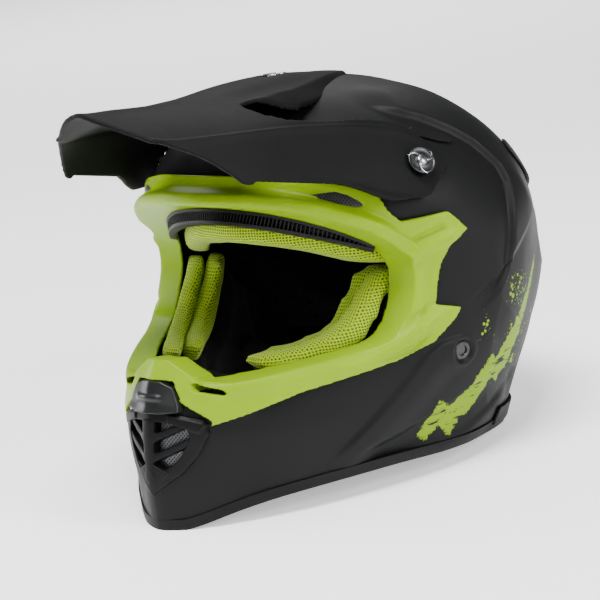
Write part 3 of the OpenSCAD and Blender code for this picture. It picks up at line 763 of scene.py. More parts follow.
def peak_edge_y(u):
    """How far forward the peak reaches across its width, a low arch with soft corners."""
    side = np.abs(u)
    front = PEAK_FRONT + 19 * np.clip(side / 0.74, 0, 1) ** 2.4
    return front + 35 * np.clip((side - 0.74) / 0.26, 0, 1)


def build_peak(material):
    nu, ny = 301, 200
    u = np.linspace(-1, 1, nu)
    s = np.linspace(0, 1, ny)
    uu, ss = np.meshgrid(u, s)
    y = peak_edge_y(uu) * (1 - ss) + (-6) * ss
    top = peak_surface(uu, y)
    du = np.gradient(top, axis=1)
    dy = np.gradient(top, axis=0)
    normal = np.cross(du, dy)
    normal /= np.linalg.norm(normal, axis=-1)[..., None]
    if normal[5, nu // 2, 2] < 0:
        normal = -normal
    low = top - PEAK_T * normal
    verts = np.concatenate([top.reshape(-1, 3), low.reshape(-1, 3)])
    n = ny * nu
    faces = [tuple(q) for q in grid_faces(ny, nu)]
    faces += [tuple(q) for q in grid_faces(ny, nu, offset=n, flip=True)]
    ring = [i for i in range(nu)] + [j * nu + nu - 1 for j in range(1, ny)]
    ring += [(ny - 1) * nu + i for i in range(nu - 2, -1, -1)]
    ring += [j * nu for j in range(ny - 2, 0, -1)]
    for a, b in zip(ring, ring[1:] + ring[:1]):
        faces.append((b, a, a + n, b + n))
    obj = mesh_object("peak_cover", to_rim(verts), faces)
    fix_normals(obj)
    kept = side_prism("arms", ARM)
    strip = prism("strip", [(-230, 300), (-230, 236), (-8, 236), (-8, 300)], -40, 40, "x")
    boolean(kept, [strip], "UNION")
    keep_within(obj, kept)
    for side in (-1, 1):
        plan = rounded([(side * x, yy) for x, yy in BESIDE_TONGUE], 1)
        boolean(obj, [prism("duct", plan, 0, 600, "z"),
                      cylinder("hole", 5.6, -10, 10, side_screw_place(side))])
    boolean(obj, [prism("slit", [(-3.3, -69), (3.3, -69), (3.3, -51), (-3.3, -51)],
                        0, 600, "z")])
    remesh(obj, 0.9, 3)
    return finish_piece(obj, "peak", "peak_plastic", material, "peak")


# ------------------------------------------------------------------ nose cap and mouth vent
def nose_relief(p):
    """The cap's ridge across its middle and the thicker part below it."""
    x, z = np.abs(p[..., 0]), p[..., 2]
    out = 1.2 * (1 - ramp(np.abs(z - 76.5 + 0.004 * x ** 2), 0.6, 2.2)) * (1 - ramp(x, 6, 12))
    out += 0.9 * (1 - ramp(z, 68, 73))
    return out


def build_nose_cap(material):
    obj = form_object("nose_cap_cover", 5.2, nt=1100, bottom=40, step=0.8, relief=nose_relief)
    keep_within(obj, front_prism("outline", rounded(mirrored(NOSE_CAP), 1)))
    hollow(obj, REST_GAP, bottom=30)
    remesh(obj, 0.55, 2)
    return finish_piece(obj, "helmet", "graphite_plastic", material, "nose_cap")


def mouth_relief(p):
    """The blades' middle stands out."""
    x, z = np.abs(p[..., 0]), p[..., 2]
    return 1.6 * (1 - ramp(x, 2, 9)) * ramp(z, 20, 28)


def build_mouth_frame(material):
    outer = form_object("mouth_vent_frame_cover", 2.8, **MOUTH_MESH)
    keep_within(outer, front_prism("outline", rounded(scaled_mouth(0.4), 1)))
    hollow(outer, -SHELL_T - 3)
    boolean(outer, [front_prism("inside", rounded(scaled_mouth(-2.9), 1))])
    lumps = [(3.4, [(-11, 34), (0, 20.4), (11, 34), (0, 40)])]
    lumps += [(4.0, [(s * 13, 67.2), (s * 31, 62.4), (s * 28, 57.5), (s * 12, 63)])
              for s in (-1, 1)]
    for height, shape in lumps:
        lump = form_object("lump", height, **MOUTH_MESH)
        keep_within(lump, front_prism("shape", shape))
        hollow(lump, -SHELL_T)
        boolean(outer, [lump], "UNION")
    remesh(outer, 0.6, 2)
    return finish_piece(outer, "helmet", "vent_plastic", material, "mouth_vent_frame")


def build_mouth_blades(material):
    outer = form_object("mouth_vent_blades_cover", 2.2, relief=mouth_relief, **MOUTH_MESH)
    shape = front_prism("rib", [(-2.0, 22), (2.0, 22), (4.6, 68), (-4.6, 68)])
    for z in (31, 42, 53):
        blade = [(28, z + 15), (28, z + 11), (0, z - 4), (-28, z + 11), (-28, z + 15),
                 (0, z + 0.5)]
        boolean(shape, [front_prism("blade", blade)], "UNION")
    keep_within(shape, front_prism("clip", rounded(scaled_mouth(-2.4), 1)))
    keep_within(outer, shape)
    hollow(outer, -SHELL_T - 2)
    remesh(outer, 0.6, 2)
    return finish_piece(outer, "helmet", "vent_plastic", material, "mouth_vent_blades")


def build_mouth_mesh(material):
    obj = form_object("mouth_screen", -3.0, nt=360, bottom=0, step=2)
    hollow(obj, -4.0, nt=360)
    keep_within(obj, front_prism("outline", scaled_mouth(-3.6)))
    shade(obj, 40)
    return finish_piece(obj, "helmet", "steel_mesh", material, "mouth_vent_mesh")


# ------------------------------------------------------------------ the back
SPOILER = [(34, 209), (60, 198), (130, 172), (130, 182), (100, 200), (66, 214), (38, 219)]
SKIRT = [(24, 58), (60, 58), (130, 60), (130, 49), (60, 47), (24, 46)]
BADGE = [(-44, 222), (-22, 215.5), (-14, 219), (-36, 226)]


def layer_piece(name, height, outline, relief):
    """A layer laid on the shell and cut to an outline seen from the side."""
    obj = form_object(name, height, nt=560, bottom=-20, step=1.2, relief=relief)
    hollow(obj, REST_GAP, nt=240, bottom=-25, relief=shell_relief)
    keep_within(obj, side_prism("outline", outline))
    return remesh(obj, 0.9, 2)


def build_rear(paint, rubber, vent, badge_plastic):
    spoiler = layer_piece("rear_spoiler_cover", 2.8, rounded(SPOILER, 1),
                          lambda q: shell_relief(q) * 0.5)
    finish_piece(spoiler, "helmet", "shell_paint", paint, "rear_spoiler")
    skirt = layer_piece("rear_skirt_cover", 2.4, SKIRT, flare_relief)
    finish_piece(skirt, "helmet", "rubber_black", rubber, "rear_skirt")
    for s, side in ((1, "left"), (-1, "right")):
        grille = form_object("vent_grille_" + side, 1.2, nt=700, bottom=120, step=1.2)
        hollow(grille, -SHELL_T, bottom=110)
        keep_within(grille, back_prism("outline", rear_window(s, -0.2)))
        for x in (23, 28, 33, 38, 43):
            slot = [(s * x - 1.2, 153), (s * x + 1.2, 153), (s * x + 1.2, 164),
                    (s * x - 1.2, 164)]
            boolean(grille, [back_prism("slot", slot)])
        remesh(grille, 0.6, 1)
        finish_piece(grille, "helmet", "vent_plastic", vent, "rear_vent_" + side)
        badge = form_object("side_badge_" + side, 1.3, nt=900, bottom=190, step=0.8,
                            relief=shell_relief)
        hollow(badge, 0.1, bottom=180)
        keep_within(badge, side_prism("outline", rounded(BADGE, 1), s))
        shade(badge, 40)
        finish_piece(badge, "helmet", "graphite_plastic", badge_plastic, "badge_" + side)


# ------------------------------------------------------------------ fasteners
def grip_disc(name, matrix, metal, dark):
    """A thin disc head with a domed middle, three curved arms and a raised rim."""
    head = lathe("head", [(0.01, 0.7), (7.8, 0.7), (8.1, 1.0), (8.1, 2.1), (7.8, 2.4),
                          (7.3, 2.4), (7.0, 2.0), (3.6, 2.0), (3.4, 2.4), (0.01, 2.5)], 96)
    crest = lathe("crest", [(0.01, 2.2), (3.1, 2.2), (2.9, 3.1), (2.1, 3.6), (0.01, 3.7)], 48)
    shank = lathe("shank", [(3, -16.3), (3, 0.9)], 32)
    parts = [head, crest, shank] + [grip_arm(2 * math.pi * k / 3 + 0.5) for k in range(3)]
    for part, material in zip(parts, (dark, *(metal,) * 5)):
        part.data.materials.append(material)
    obj = join(name, parts)
    bevel(obj, 0.18, 2, 30)
    obj.data.transform(matrix)
    return obj


def grip_arm(start, steps=12):
    """One curved arm of a screw's grip, from the middle at an angle out to the rim."""
    verts = []
    for f in np.arange(steps + 1) / steps:
        r, a = 2.4 + 6.0 * f, start + 0.75 * f * f
        centre = np.array([r * math.cos(a), r * math.sin(a)])
        across = np.array([-math.sin(a + 0.6 * f), math.cos(a + 0.6 * f)]) * (1.0 - 0.35 * f)
        for e, h in ((-1, 1.9), (-0.75, 3.5 - 0.6 * f), (0.75, 3.5 - 0.6 * f), (1, 1.9)):
            verts.append((*(centre + e * across), h))
    faces = [tuple(q) for q in grid_faces(steps + 1, 4, True)]
    faces += [(0, 1, 2, 3), tuple(4 * steps + i for i in (3, 2, 1, 0))]
    arm = mesh_object("arm", np.array(verts) * MM, faces, smooth=False)
    fix_normals(arm)
    return arm


def build_fasteners(steel, dark):
    for s, side in ((1, "left"), (-1, "right")):
        screw = grip_disc("grip_screw_" + side, side_screw_place(s), steel, dark)
        finish_piece(screw, "screw_" + side, "screw_metal", None, "peak_screw_" + side)
        rivet = lathe("strap_rivet_" + side,
                      [(4, -9), (4, -1.6), (5.2, -1.5), (5.5, -1.1), (5.2, -0.5), (4.0, -0.2),
                       (3.2, -0.2), (3.0, -0.5), (2.9, -1.2), (0.01, -1.3)], 72, rivet_place(s))
        finish_piece(rivet, "helmet", "screw_metal", dark, "jaw_screw_" + side)
    screw = grip_disc("grip_screw_top", top_screw_place(), steel, dark)
    finish_piece(screw, "screw_top", "screw_metal", None, "peak_screw_top")


# ------------------------------------------------------------------ padding
def pad_solid(name, outer, inner, outline, side=0, bottom=-10, voxel=5.0, smooth_steps=6,
              cut=None):
    """A soft piece's filled shape between two offsets, as even small faces."""
    obj = form_object(name, outer, nt=240, bottom=bottom, step=2.5)
    hollow(obj, inner, nt=200, bottom=bottom - 5, step=2.5)
    keep_within(obj, side_prism("outline", outline, side, PAD_INNER))
    if cut is not None:
        boolean(obj, [under_rim("foot", cut)])
    return remesh(obj, voxel, smooth_steps)


def swell(obj, limit, pressure):
    """Fills a piece as cloth under pressure; it moves at most limit millimetres."""
    rest = get_points(obj)
    mod = obj.modifiers.new("cloth", "CLOTH")
    cloth = mod.settings
    cloth.quality = 5
    cloth.mass = 0.3
    cloth.tension_stiffness = CLOTH_STIFFNESS
    cloth.compression_stiffness = CLOTH_STIFFNESS
    cloth.shear_stiffness = CLOTH_STIFFNESS * 0.6
    cloth.bending_stiffness = 0.6
    cloth.use_pressure = True
    cloth.uniform_pressure_force = pressure
    cloth.effector_weights.gravity = 0
    mod.point_cache.frame_start = 1
    mod.point_cache.frame_end = CLOTH_FRAMES
    scene = bpy.context.scene
    for number in range(1, CLOTH_FRAMES + 1):
        scene.frame_set(number)
    apply_modifiers(obj)
    scene.frame_set(1)
    moved = get_points(obj) - rest
    length = np.linalg.norm(moved, axis=1)[:, None]
    set_points(obj, rest + moved * np.minimum(1, limit * MM / np.maximum(length, 1e-9)))
    return obj


def subdivide(obj):
    modify(obj, "SUBSURF", levels=1, render_levels=1)
    shade(obj)
    return obj


def pucker(obj, depth, size, seed):
    """Presses a soft unevenness into a padded piece along its own normals."""
    points = get_points(obj)
    normals = np.zeros(len(points) * 3)
    obj.data.vertices.foreach_get("normal", normals)
    normals = normals.reshape(-1, 3)
    r = np.random.default_rng(seed)
    amount = np.zeros(len(points))
    for _ in range(7):
        wave = r.normal(size=3)
        wave /= np.linalg.norm(wave)
        amount += np.sin(points @ wave * (2 * math.pi / (size * MM)) + r.uniform(0, 6.28))
    set_points(obj, points + normals * (amount / 7 * depth * MM)[:, None])
    return obj


# Cloth settings of every swelled piece.
CLOTH_STIFFNESS = 8.0
CLOTH_FRAMES = 20
# Outlines of the pads, seen from the side.
BROW_ROLL = [(-160, 176), (-112, 176), (-84, 168), (-58, 158), (-45, 152), (-44, 147.4),
             (-60, 147.4), (-69, 151), (-90, 158), (-115, 161), (-160, 161)]
CROWN = [(-160, 300), (-160, 184), (-60, 172), (20, 137), (60, 104), (150, 104), (150, 300)]
NECK = [(46, 84), (42, 20), (150, 20), (150, 84)]
CHIN = [(-190, 95), (-136, 91), (-114, 85), (-106, 60), (-106, 12), (-190, 12)]
CHEEK = [(-58, 112), (-50, 128), (-40, 145), (8, 121), (32, 92), (34, 62), (10, 52), (-30, 44),
         (-66, 40), (-92, 42), (-102, 62), (-104, 84), (-82, 93), (-66, 100)]
# The two rolls that line the side of the eyeport, one outside the other.
OUTER_ROLL = [(-58.4, 112.6), (-66, 100.8), (-82, 93.8), (-104.4, 84.6), (-117, 91),
              (-115, 97), (-90, 103), (-73, 113), (-63, 128), (-52, 145), (-43, 145.6),
              (-50.4, 128.6)]
INNER_ROLL = [(-47, 112.6), (-56, 100), (-74, 91), (-98, 84), (-106, 90), (-104, 97),
              (-84, 103), (-67, 113), (-57, 128), (-47, 146), (-34, 146), (-40, 128.6)]


def soft(obj, limit, pressure, dent, size, seed, material, slot_name, fill, *replaced):
    """Swells a padded piece by at most limit, dents it and hands it over as padding."""
    subdivide(pucker(swell(obj, limit, pressure), dent, size, seed))
    finish_piece(obj, "helmet", slot_name, material, *replaced)


def build_padding(air_mesh, lining):
    # The black lining's colour is partly black cloth and partly painted shade of the helmet's inside.
    neon_cloth, black_cloth_and_painted_shade = (air_mesh, "air_mesh_neon"), (lining, "liner_fabric")
    piece = pad_solid("brow_roll", -LIP_DEPTH - 3.5, CROWN_IN - 4, rounded(BROW_ROLL, 1),
                      bottom=60, voxel=3.4, smooth_steps=7)
    soft(piece, 6.0, 5.0, 0.7, 26, 3, *neon_cloth, 0.75, "brow_pad")
    for s, side in ((1, "left"), (-1, "right")):
        roll = pad_solid("cheek_roll_outer_" + side, CHEEK_OUT + 1, CHEEK_OUT - 13,
                         rounded(OUTER_ROLL, 1), s, 40, 3.2, 8)
        soft(roll, 6.0, 6.0, 0.6, 22, 5, *neon_cloth, 0.75, "cheek_roll_" + side)
        roll = pad_solid("cheek_roll_inner_" + side, CHEEK_OUT - 13.5, CHEEK_OUT - 27,
                         rounded(INNER_ROLL, 1), s, 40, 3.2, 8)
        soft(roll, 6.0, 6.0, 0.6, 22, 6, *neon_cloth, 0.75)
        cheek = pad_solid("cheek_cushion_" + side, CHEEK_OUT, CHEEK_IN + 3, rounded(CHEEK, 1),
                          s, 20, 4.6, 6, cut=BEAD_H + 8)
        soft(cheek, 5.0, 3.0, 0.8, 34, 8, *black_cloth_and_painted_shade, 0.7, "cheek_pad_" + side)
    piece = pad_solid("crown_comfort", CROWN_IN - 0.8, CROWN_IN - 8, CROWN, bottom=60,
                      voxel=4.5, smooth_steps=4)
    soft(piece, 3.5, 1.5, 0.8, 40, 9, *black_cloth_and_painted_shade, 0.5, "crown_pad")
    piece = pad_solid("neck_cushion", LINER_OUT - 2.5, LINER_OUT - 23, NECK, bottom=0,
                      voxel=4.6, smooth_steps=5, cut=BEAD_H + 4.5)
    soft(piece, 4.0, 3.0, 0.8, 34, 10, *black_cloth_and_painted_shade, 0.7, "neck_roll")
    piece = pad_solid("chin_cushion", CHEEK_OUT - 0.5, CHEEK_OUT - 7.5, CHIN, bottom=0,
                      voxel=3.6, smooth_steps=4, cut=BEAD_H + 7)
    soft(piece, 2.0, 1.5, 0.4, 30, 11, *black_cloth_and_painted_shade, 0.5, "chin_pad")


# ------------------------------------------------------------------ straps
STRAP_W, STRAP_T = 22.0, 2.0
STRAP_Y = MIDDLE_Y - 4.0
RING_X, RING_Z, RING_WIRE = 36.0, 42.0, 3.6
RING_PITCH = RING_WIRE + 0.9
# Length of one stitch.
STITCH = 2.2


def webbing(name, path):
    """A flat woven strap through [x, z] points at the straps' middle line, with sewn edges."""
    dense = rounded_line(path, 3)
    p = np.array([(x, STRAP_Y, z) for x, z in dense])
    d = np.gradient(p, axis=0)
    d /= np.linalg.norm(d, axis=1)[:, None]
    n = np.stack([-d[:, 2], np.zeros(len(d)), d[:, 0]], -1)
    across = np.linspace(-1, 1, 13)
    rows = []
    for k in range(len(p)):
        upper, lower = [], []
        for a in across:
            thick = STRAP_T / 2 * (1 - 0.55 * max(0, abs(a) - 0.86) / 0.14)
            base = p[k] + np.array([0, a * STRAP_W / 2, 0])
            upper.append(base + n[k] * thick)
            lower.append(base - n[k] * thick)
        rows.append(upper + lower[::-1])
    count = 2 * len(across)
    verts = np.array(rows).reshape(-1, 3)
    faces = [tuple(q) for q in grid_faces(len(p), count, True)]
    faces += [tuple(range(count)), tuple((len(p) - 1) * count + i for i in reversed(range(count)))]
    obj = mesh_object(name, verts * MM, faces)
    fix_normals(obj)
    shade(obj, 50)
    return obj


def stitches(name, path):
    """A sewn box of short thread stitches on a strap."""
    parts = []
    dense = np.array(rounded_line(path, 3))
    length = np.concatenate([[0], np.cumsum(np.linalg.norm(np.diff(dense, axis=0), axis=1))])
    for row in (-8.2, -4.0, 4.0, 8.2):
        for at in np.arange(3.0, min(length[-1] - STITCH, 24.0), 3.4):
            x, x2 = np.interp((at, at + STITCH), length, dense[:, 0])
            z, z2 = np.interp((at, at + STITCH), length, dense[:, 1])
            up = np.array([-(z2 - z), 0, x2 - x])
            up /= np.linalg.norm(up)
            up *= np.sign(up[2]) if abs(up[2]) > 1e-6 else 1
            mid = np.array([(x + x2) / 2, STRAP_Y + row, (z + z2) / 2]) - up * (STRAP_T / 2 + 0.1)
            along, side = np.array([x2 - x, 0, z2 - z]) / 2, np.array([0, 0.35, 0])
            corners = [mid + e * along + f * side + g * up * 0.3
                       for e in (-1, 1) for f in (-1, 1) for g in (-1, 1)]
            parts.append(block("stitch", np.array(corners) * MM))
    return join(name, parts)


def build_straps(web, thread):
    """The short strap with its loop, the long strap, and the stitching where they are sewn."""
    start = [(94, 72), (80, 67), (66, 62), (54, 58)]
    short = start + [(46, 54.5), (39.5, 50.6), (RING_X + 0.8, RING_Z + RING_WIRE / 2 + 1.6)]
    # The short strap's end goes round both D-rings.
    loop = []
    half, r = RING_PITCH / 2, RING_WIRE / 2 + 0.4 + STRAP_T / 2
    for k in range(49):
        a = 2 * math.pi * k / 48
        cx = RING_X + (half if math.cos(a) > 0 else -half)
        loop.append((cx + r * math.cos(a), RING_Z + r * math.sin(a)))
    obj = join("chin_strap_short", [webbing("chin_strap_short", short), webbing("loop", loop)])
    finish_piece(obj, "helmet", "strap_webbing", web, "strap_short")
    long_path = [(-x, z) for x, z in start] + [(-46, 53), (-40, 44), (-37, 30), (-33, 16),
                                               (-25, 6.5), (-14, 2.2), (0, 1.2), (20, 1.2),
                                               (40, 1.2)]
    finish_piece(webbing("chin_strap_long", long_path), "helmet", "strap_webbing", web,
                 "strap_long")
    for path, name in ((short[3:], "left"), (long_path[3:], "right")):
        finish_piece(stitches("strap_stitching_" + name, path), "helmet", "strap_webbing",
                     thread)


# ------------------------------------------------------------------ materials
class Nodes:
    """Short ways to build a procedural material, in object coordinates in millimetres."""

    def __init__(self, name):
        self.material = bpy.data.materials.new(name)
        self.material.use_nodes = True
        self.tree = self.material.node_tree
        self.shader = self.tree.nodes["Principled BSDF"]
        coords = self.tree.nodes.new("ShaderNodeTexCoord")
        scale = self.tree.nodes.new("ShaderNodeVectorMath")
        scale.operation = "SCALE"
        scale.inputs["Scale"].default_value = 1000.0
        self.link(coords.outputs["Object"], scale.inputs[0])
        self.place = scale.outputs[0]

    def link(self, a, b):
        self.tree.links.new(a, b)

    def value(self, socket, v):
        if isinstance(v, (int, float, tuple, list)):
            socket.default_value = v
        else:
            self.link(v, socket)

    def math(self, operation, a, b=0.0, c=0.0, clamp=False):
        node = self.tree.nodes.new("ShaderNodeMath")
        node.operation = operation
        node.use_clamp = clamp
        for socket, v in zip(node.inputs, (a, b, c)):
            self.value(socket, v)
        return node.outputs[0]

    def scaled(self, scale):
        """The place scaled by one number or by three."""
        node = self.tree.nodes.new("ShaderNodeVectorMath")
        node.operation = "MULTIPLY"
        self.link(self.place, node.inputs[0])
        node.inputs[1].default_value = scale if isinstance(scale, tuple) else (scale,) * 3
        return node.outputs[0]

    def noise(self, size, detail=2.0, rough=0.5, vector=None):
        """Noise whose features are about size millimetres across."""
        node = self.tree.nodes.new("ShaderNodeTexNoise")
        node.inputs["Scale"].default_value = 1.0 / size
        node.inputs["Detail"].default_value = detail
        node.inputs["Roughness"].default_value = rough
        self.link(vector or self.place, node.inputs["Vector"])
        return node.outputs["Fac"]

    def ramp(self, v, low, high, out_low=0.0, out_high=1.0):
        node = self.tree.nodes.new("ShaderNodeMapRange")
        node.interpolation_type = "SMOOTHSTEP"
        self.value(node.inputs["Value"], v)
        for key, number in (("From Min", low), ("From Max", high), ("To Min", out_low),
                            ("To Max", out_high)):
            self.value(node.inputs[key], number)
        return node.outputs["Result"]

    def mix(self, factor, a, b):
        node = self.tree.nodes.new("ShaderNodeMix")
        node.data_type = "RGBA"
        self.value(node.inputs[0], factor)
        for socket, v in ((node.inputs[6], a), (node.inputs[7], b)):
            if isinstance(v, (tuple, list)):
                socket.default_value = (*v[:3], 1.0)
            else:
                self.link(v, socket)
        return node.outputs[2]

    def bump(self, height, distance, strength=1.0, under=None):
        node = self.tree.nodes.new("ShaderNodeBump")
        node.inputs["Strength"].default_value = strength
        node.inputs["Distance"].default_value = distance * MM
        self.value(node.inputs["Height"], height)
        if under is not None:
            self.link(under, node.inputs["Normal"])
        return node.outputs["Normal"]

    def cells(self, size, feature="F1"):
        """Cells about size millimetres across, as the distance from their middles or edges."""
        node = self.tree.nodes.new("ShaderNodeTexVoronoi")
        node.feature = feature
        node.inputs["Scale"].default_value = 1 / size
        self.link(self.place, node.inputs["Vector"])
        return node.outputs["Distance"]

    def axes(self):
        node = self.tree.nodes.new("ShaderNodeSeparateXYZ")
        self.link(self.place, node.inputs[0])
        return node.outputs

    def sockets(self, **values):
        for key, v in values.items():
            socket = self.shader.inputs[key.replace("_", " ")]
            if key == "Base_Color" and isinstance(v, tuple):
                v = (*v[:3], 1.0)
            self.value(socket, v)


def worn_axes(m):
    """The worn y and z in millimetres, and |x|, as sockets."""
    x, y, z = m.axes()
    y0 = m.math("SUBTRACT", y, MIDDLE_Y)
    z0 = m.math("ADD", z, CHIN_EDGE * SIN)
    wy = m.math("SUBTRACT", m.math("MULTIPLY", y0, COS), m.math("MULTIPLY", z0, SIN))
    wz = m.math("ADD", m.math("MULTIPLY", y0, SIN), m.math("MULTIPLY", z0, COS))
    return m.math("ABSOLUTE", x), wy, wz


def stripe_mask(m, wy, wz, a, b, half_a, half_b, ragged, soft=0.8):
    """A stroke from a to b in the side view, half_a wide at its start and half_b at its end."""
    dy, dz = b[0] - a[0], b[1] - a[1]
    length = math.hypot(dy, dz)
    ey, ez = dy / length, dz / length
    ry, rz = m.math("SUBTRACT", wy, a[0]), m.math("SUBTRACT", wz, a[1])
    along = m.math("ADD", m.math("MULTIPLY", ry, ey), m.math("MULTIPLY", rz, ez))
    across = m.math("SUBTRACT", m.math("MULTIPLY", rz, ey), m.math("MULTIPLY", ry, ez))
    f = m.math("DIVIDE", along, length, clamp=True)
    half = m.math("ADD", m.math("MULTIPLY", f, half_b - half_a), half_a)
    edge = m.math("ADD", m.math("ABSOLUTE", across), ragged)
    inside = m.ramp(m.math("SUBTRACT", half, edge), -soft * 0.5, soft * 0.5)
    ends = m.math("MULTIPLY", m.ramp(m.math("ADD", along, ragged), -0.5, 0.5),
                  m.ramp(m.math("SUBTRACT", length, m.math("SUBTRACT", along, ragged)), -0.5, 0.5))
    return m.math("MULTIPLY", inside, ends)


def lacquer_material():
    """Matte black lacquer with a torn brush stroke and its spatter low on each side."""
    m = Nodes("matte_lacquer")
    ax, wy, wz = worn_axes(m)
    tear = m.math("MULTIPLY", m.math("SUBTRACT", m.noise(3.2, 4.0, 0.7), 0.5), 9.0)
    dry = m.noise(5.0, 3.0, 0.65, m.scaled((1.0, 0.35, 2.2)))
    strokes = [((48, 148), (28, 112), 1.0, 5.5), ((28, 112), (10, 78), 5.5, 9.0),
               ((8, 88), (-14, 60), 8.5, 6.5), ((-10, 70), (-24, 50), 5.5, 7.0),
               ((-27, 66), (-38, 46), 6.5, 4.0)]
    mask = None
    for a, b, ha, hb in strokes:
        part = stripe_mask(m, wy, wz, a, b, ha, hb, tear)
        mask = part if mask is None else m.math("MAXIMUM", mask, part)
    mask = m.math("MULTIPLY", mask, m.ramp(dry, 0.36, 0.42))
    # Spatter thins out away from the stroke.
    d_centre = m.math("ADD", m.math("POWER", m.math("DIVIDE", m.math("SUBTRACT", wy, 22), 44), 2),
                      m.math("POWER", m.math("DIVIDE", m.math("SUBTRACT", wz, 108), 46), 2))
    near = m.ramp(d_centre, 0.1, 1.0, 1.0, 0.0)
    patch = m.noise(16.0, 2.0)
    reach = m.math("MULTIPLY", near, m.ramp(patch, 0.42, 0.62))
    drop = m.ramp(m.math("SUBTRACT", m.math("MULTIPLY", reach, 0.42), m.cells(4.4)), 0.0, 0.05)
    small = m.ramp(m.math("SUBTRACT", m.math("MULTIPLY", near, 0.3), m.cells(2.2)), 0.0, 0.05)
    spatter = m.math("MAXIMUM", drop, m.math("MULTIPLY", small, m.ramp(patch, 0.5, 0.56)))
    mask = m.math("MAXIMUM", mask, spatter)
    side = m.ramp(ax, 45, 55)
    mask = m.math("MULTIPLY", m.math("MULTIPLY", mask, side), m.ramp(wz, 34, 38), clamp=True)
    tone = m.noise(60.0, 2.0)
    base = m.mix(tone, (0.0036, 0.0037, 0.0040), (0.0052, 0.0053, 0.0057))
    m.sockets(Base_Color=m.mix(mask, base, (0.17, 0.285, 0.0)),
              Roughness=m.math("ADD", 0.46, m.math("MULTIPLY", m.noise(7.0, 3.0), 0.07)),
              Specular_IOR_Level=0.14)
    peel = m.bump(m.noise(1.6, 2.0), 0.02, 0.35)
    m.sockets(Normal=m.bump(mask, 0.04, 0.6, peel))
    return m.material


def plastic_material(name, low, high, rough, grain_size, grain, specular=0.5, subsurface=0.0):
    """Moulded plastic with a slight change of tone, uneven gloss and a fine grain."""
    m = Nodes(name)
    tone = m.noise(34.0, 3.0)
    marks = m.noise(9.0, 5.0, 0.65)
    m.sockets(Base_Color=m.mix(m.ramp(tone, 0.3, 0.7), low, high),
              Roughness=m.math("ADD", rough - 0.04, m.math("MULTIPLY", marks, 0.10)),
              Specular_IOR_Level=specular)
    if subsurface:
        m.sockets(Subsurface_Weight=subsurface, Subsurface_Scale=0.003)
    m.sockets(Normal=m.bump(m.noise(grain_size, 2.0), grain, 0.6))
    return m.material


def metal_material(name, colour, rough):
    """Turned metal with fine rings and patches of wear."""
    m = Nodes(name)
    wear = m.noise(2.4, 5.0, 0.7)
    turned = m.noise(0.25, 1.0, 0.5, m.scaled((1.0, 1.0, 0.1)))
    m.sockets(Base_Color=m.mix(m.ramp(wear, 0.4, 0.7), colour,
                               tuple(c * 0.72 for c in colour)),
              Metallic=1.0,
              Roughness=m.math("ADD", rough, m.math("MULTIPLY", m.ramp(wear, 0.45, 0.7), 0.16)),
              Normal=m.bump(turned, 0.01, 0.3))
    return m.material


def screen_material():
    """Woven steel wire over a dark ground, laid along the slope of the surface."""
    m = Nodes("woven_screen")
    pitch = 1.25
    _, wy, wz = worn_axes(m)
    run = m.math("ADD", m.axes()[0], m.math("MULTIPLY", wy, 0.8))
    wires = [m.ramp(m.math("PINGPONG", m.math(way, run, wz), pitch), pitch * 0.42, pitch * 0.62)
             for way in ("ADD", "SUBTRACT")]
    wire = m.math("MAXIMUM", *wires)
    m.sockets(Base_Color=m.mix(wire, (0.003, 0.003, 0.004), (0.085, 0.087, 0.092)),
              Metallic=wire, Roughness=m.ramp(wire, 0, 1, 0.8, 0.34),
              Normal=m.bump(wire, 0.4, 1.0))
    return m.material


def knit_material(name, ground, thread, hole, pitch, open_size, sheen=0.15):
    """Open knit with rows of holes, laid on each surface from its three sides."""
    m = Nodes(name)
    geometry = m.tree.nodes.new("ShaderNodeNewGeometry")
    normal = m.tree.nodes.new("ShaderNodeSeparateXYZ")
    m.link(geometry.outputs["Normal"], normal.inputs[0])
    warp = m.math("MULTIPLY", m.math("SUBTRACT", m.noise(9.0, 2.0), 0.5), 1.6)
    x, y, z = [m.math("ADD", a, warp) for a in m.axes()]
    holes, weights = 0.0, 0.0
    for u, v, n in ((y, z, normal.outputs[0]), (x, z, normal.outputs[1]),
                    (x, y, normal.outputs[2])):
        fu = m.math("PINGPONG", m.math("ADD", u, v), pitch)
        fv = m.math("PINGPONG", m.math("SUBTRACT", u, v), pitch)
        # A hole at each crossing of the diagonal rows, and one in the middle of each square.
        far = m.math("ADD", m.math("SUBTRACT", pitch, fu), m.math("SUBTRACT", pitch, fv))
        spot = m.math("MAXIMUM", *[m.ramp(d, open_size, open_size * 1.5, 1.0, 0.0)
                                   for d in (m.math("ADD", fu, fv), far)])
        weight = m.math("POWER", m.math("ABSOLUTE", n), 6.0)
        holes = m.math("ADD", holes, m.math("MULTIPLY", spot, weight))
        weights = m.math("ADD", weights, weight)
    hole_mask = m.math("DIVIDE", holes, weights, clamp=True)
    fibre = m.noise(0.55, 3.0, 0.7)
    cloth = m.mix(m.ramp(fibre, 0.25, 0.75), ground, thread)
    m.sockets(Base_Color=m.mix(hole_mask, cloth, hole), Roughness=0.86,
              Sheen_Weight=sheen, Sheen_Roughness=0.5, Specular_IOR_Level=0.12)
    loft = m.math("ADD", m.math("MULTIPLY", hole_mask, -1.0), m.math("MULTIPLY", fibre, 0.35))
    m.sockets(Normal=m.bump(loft, 0.5, 0.9))
    return m.material


def webbing_material():
    """Black webbing with ribs along it and picks across."""
    m = Nodes("black_webbing")
    x, y, z = m.axes()
    ribs = m.math("PINGPONG", y, 0.9)
    picks = m.math("PINGPONG", m.math("ADD", x, z), 0.8)
    weave = m.math("ADD", m.ramp(ribs, 0.1, 0.7), m.math("MULTIPLY", m.ramp(picks, 0.1, 0.6), 0.5))
    m.sockets(Base_Color=m.mix(m.ramp(weave, 0.2, 1.3), (0.006, 0.006, 0.007),
                               (0.028, 0.028, 0.03)),
              Roughness=0.7, Sheen_Weight=0.2, Normal=m.bump(weave, 0.25, 0.8))
    return m.material


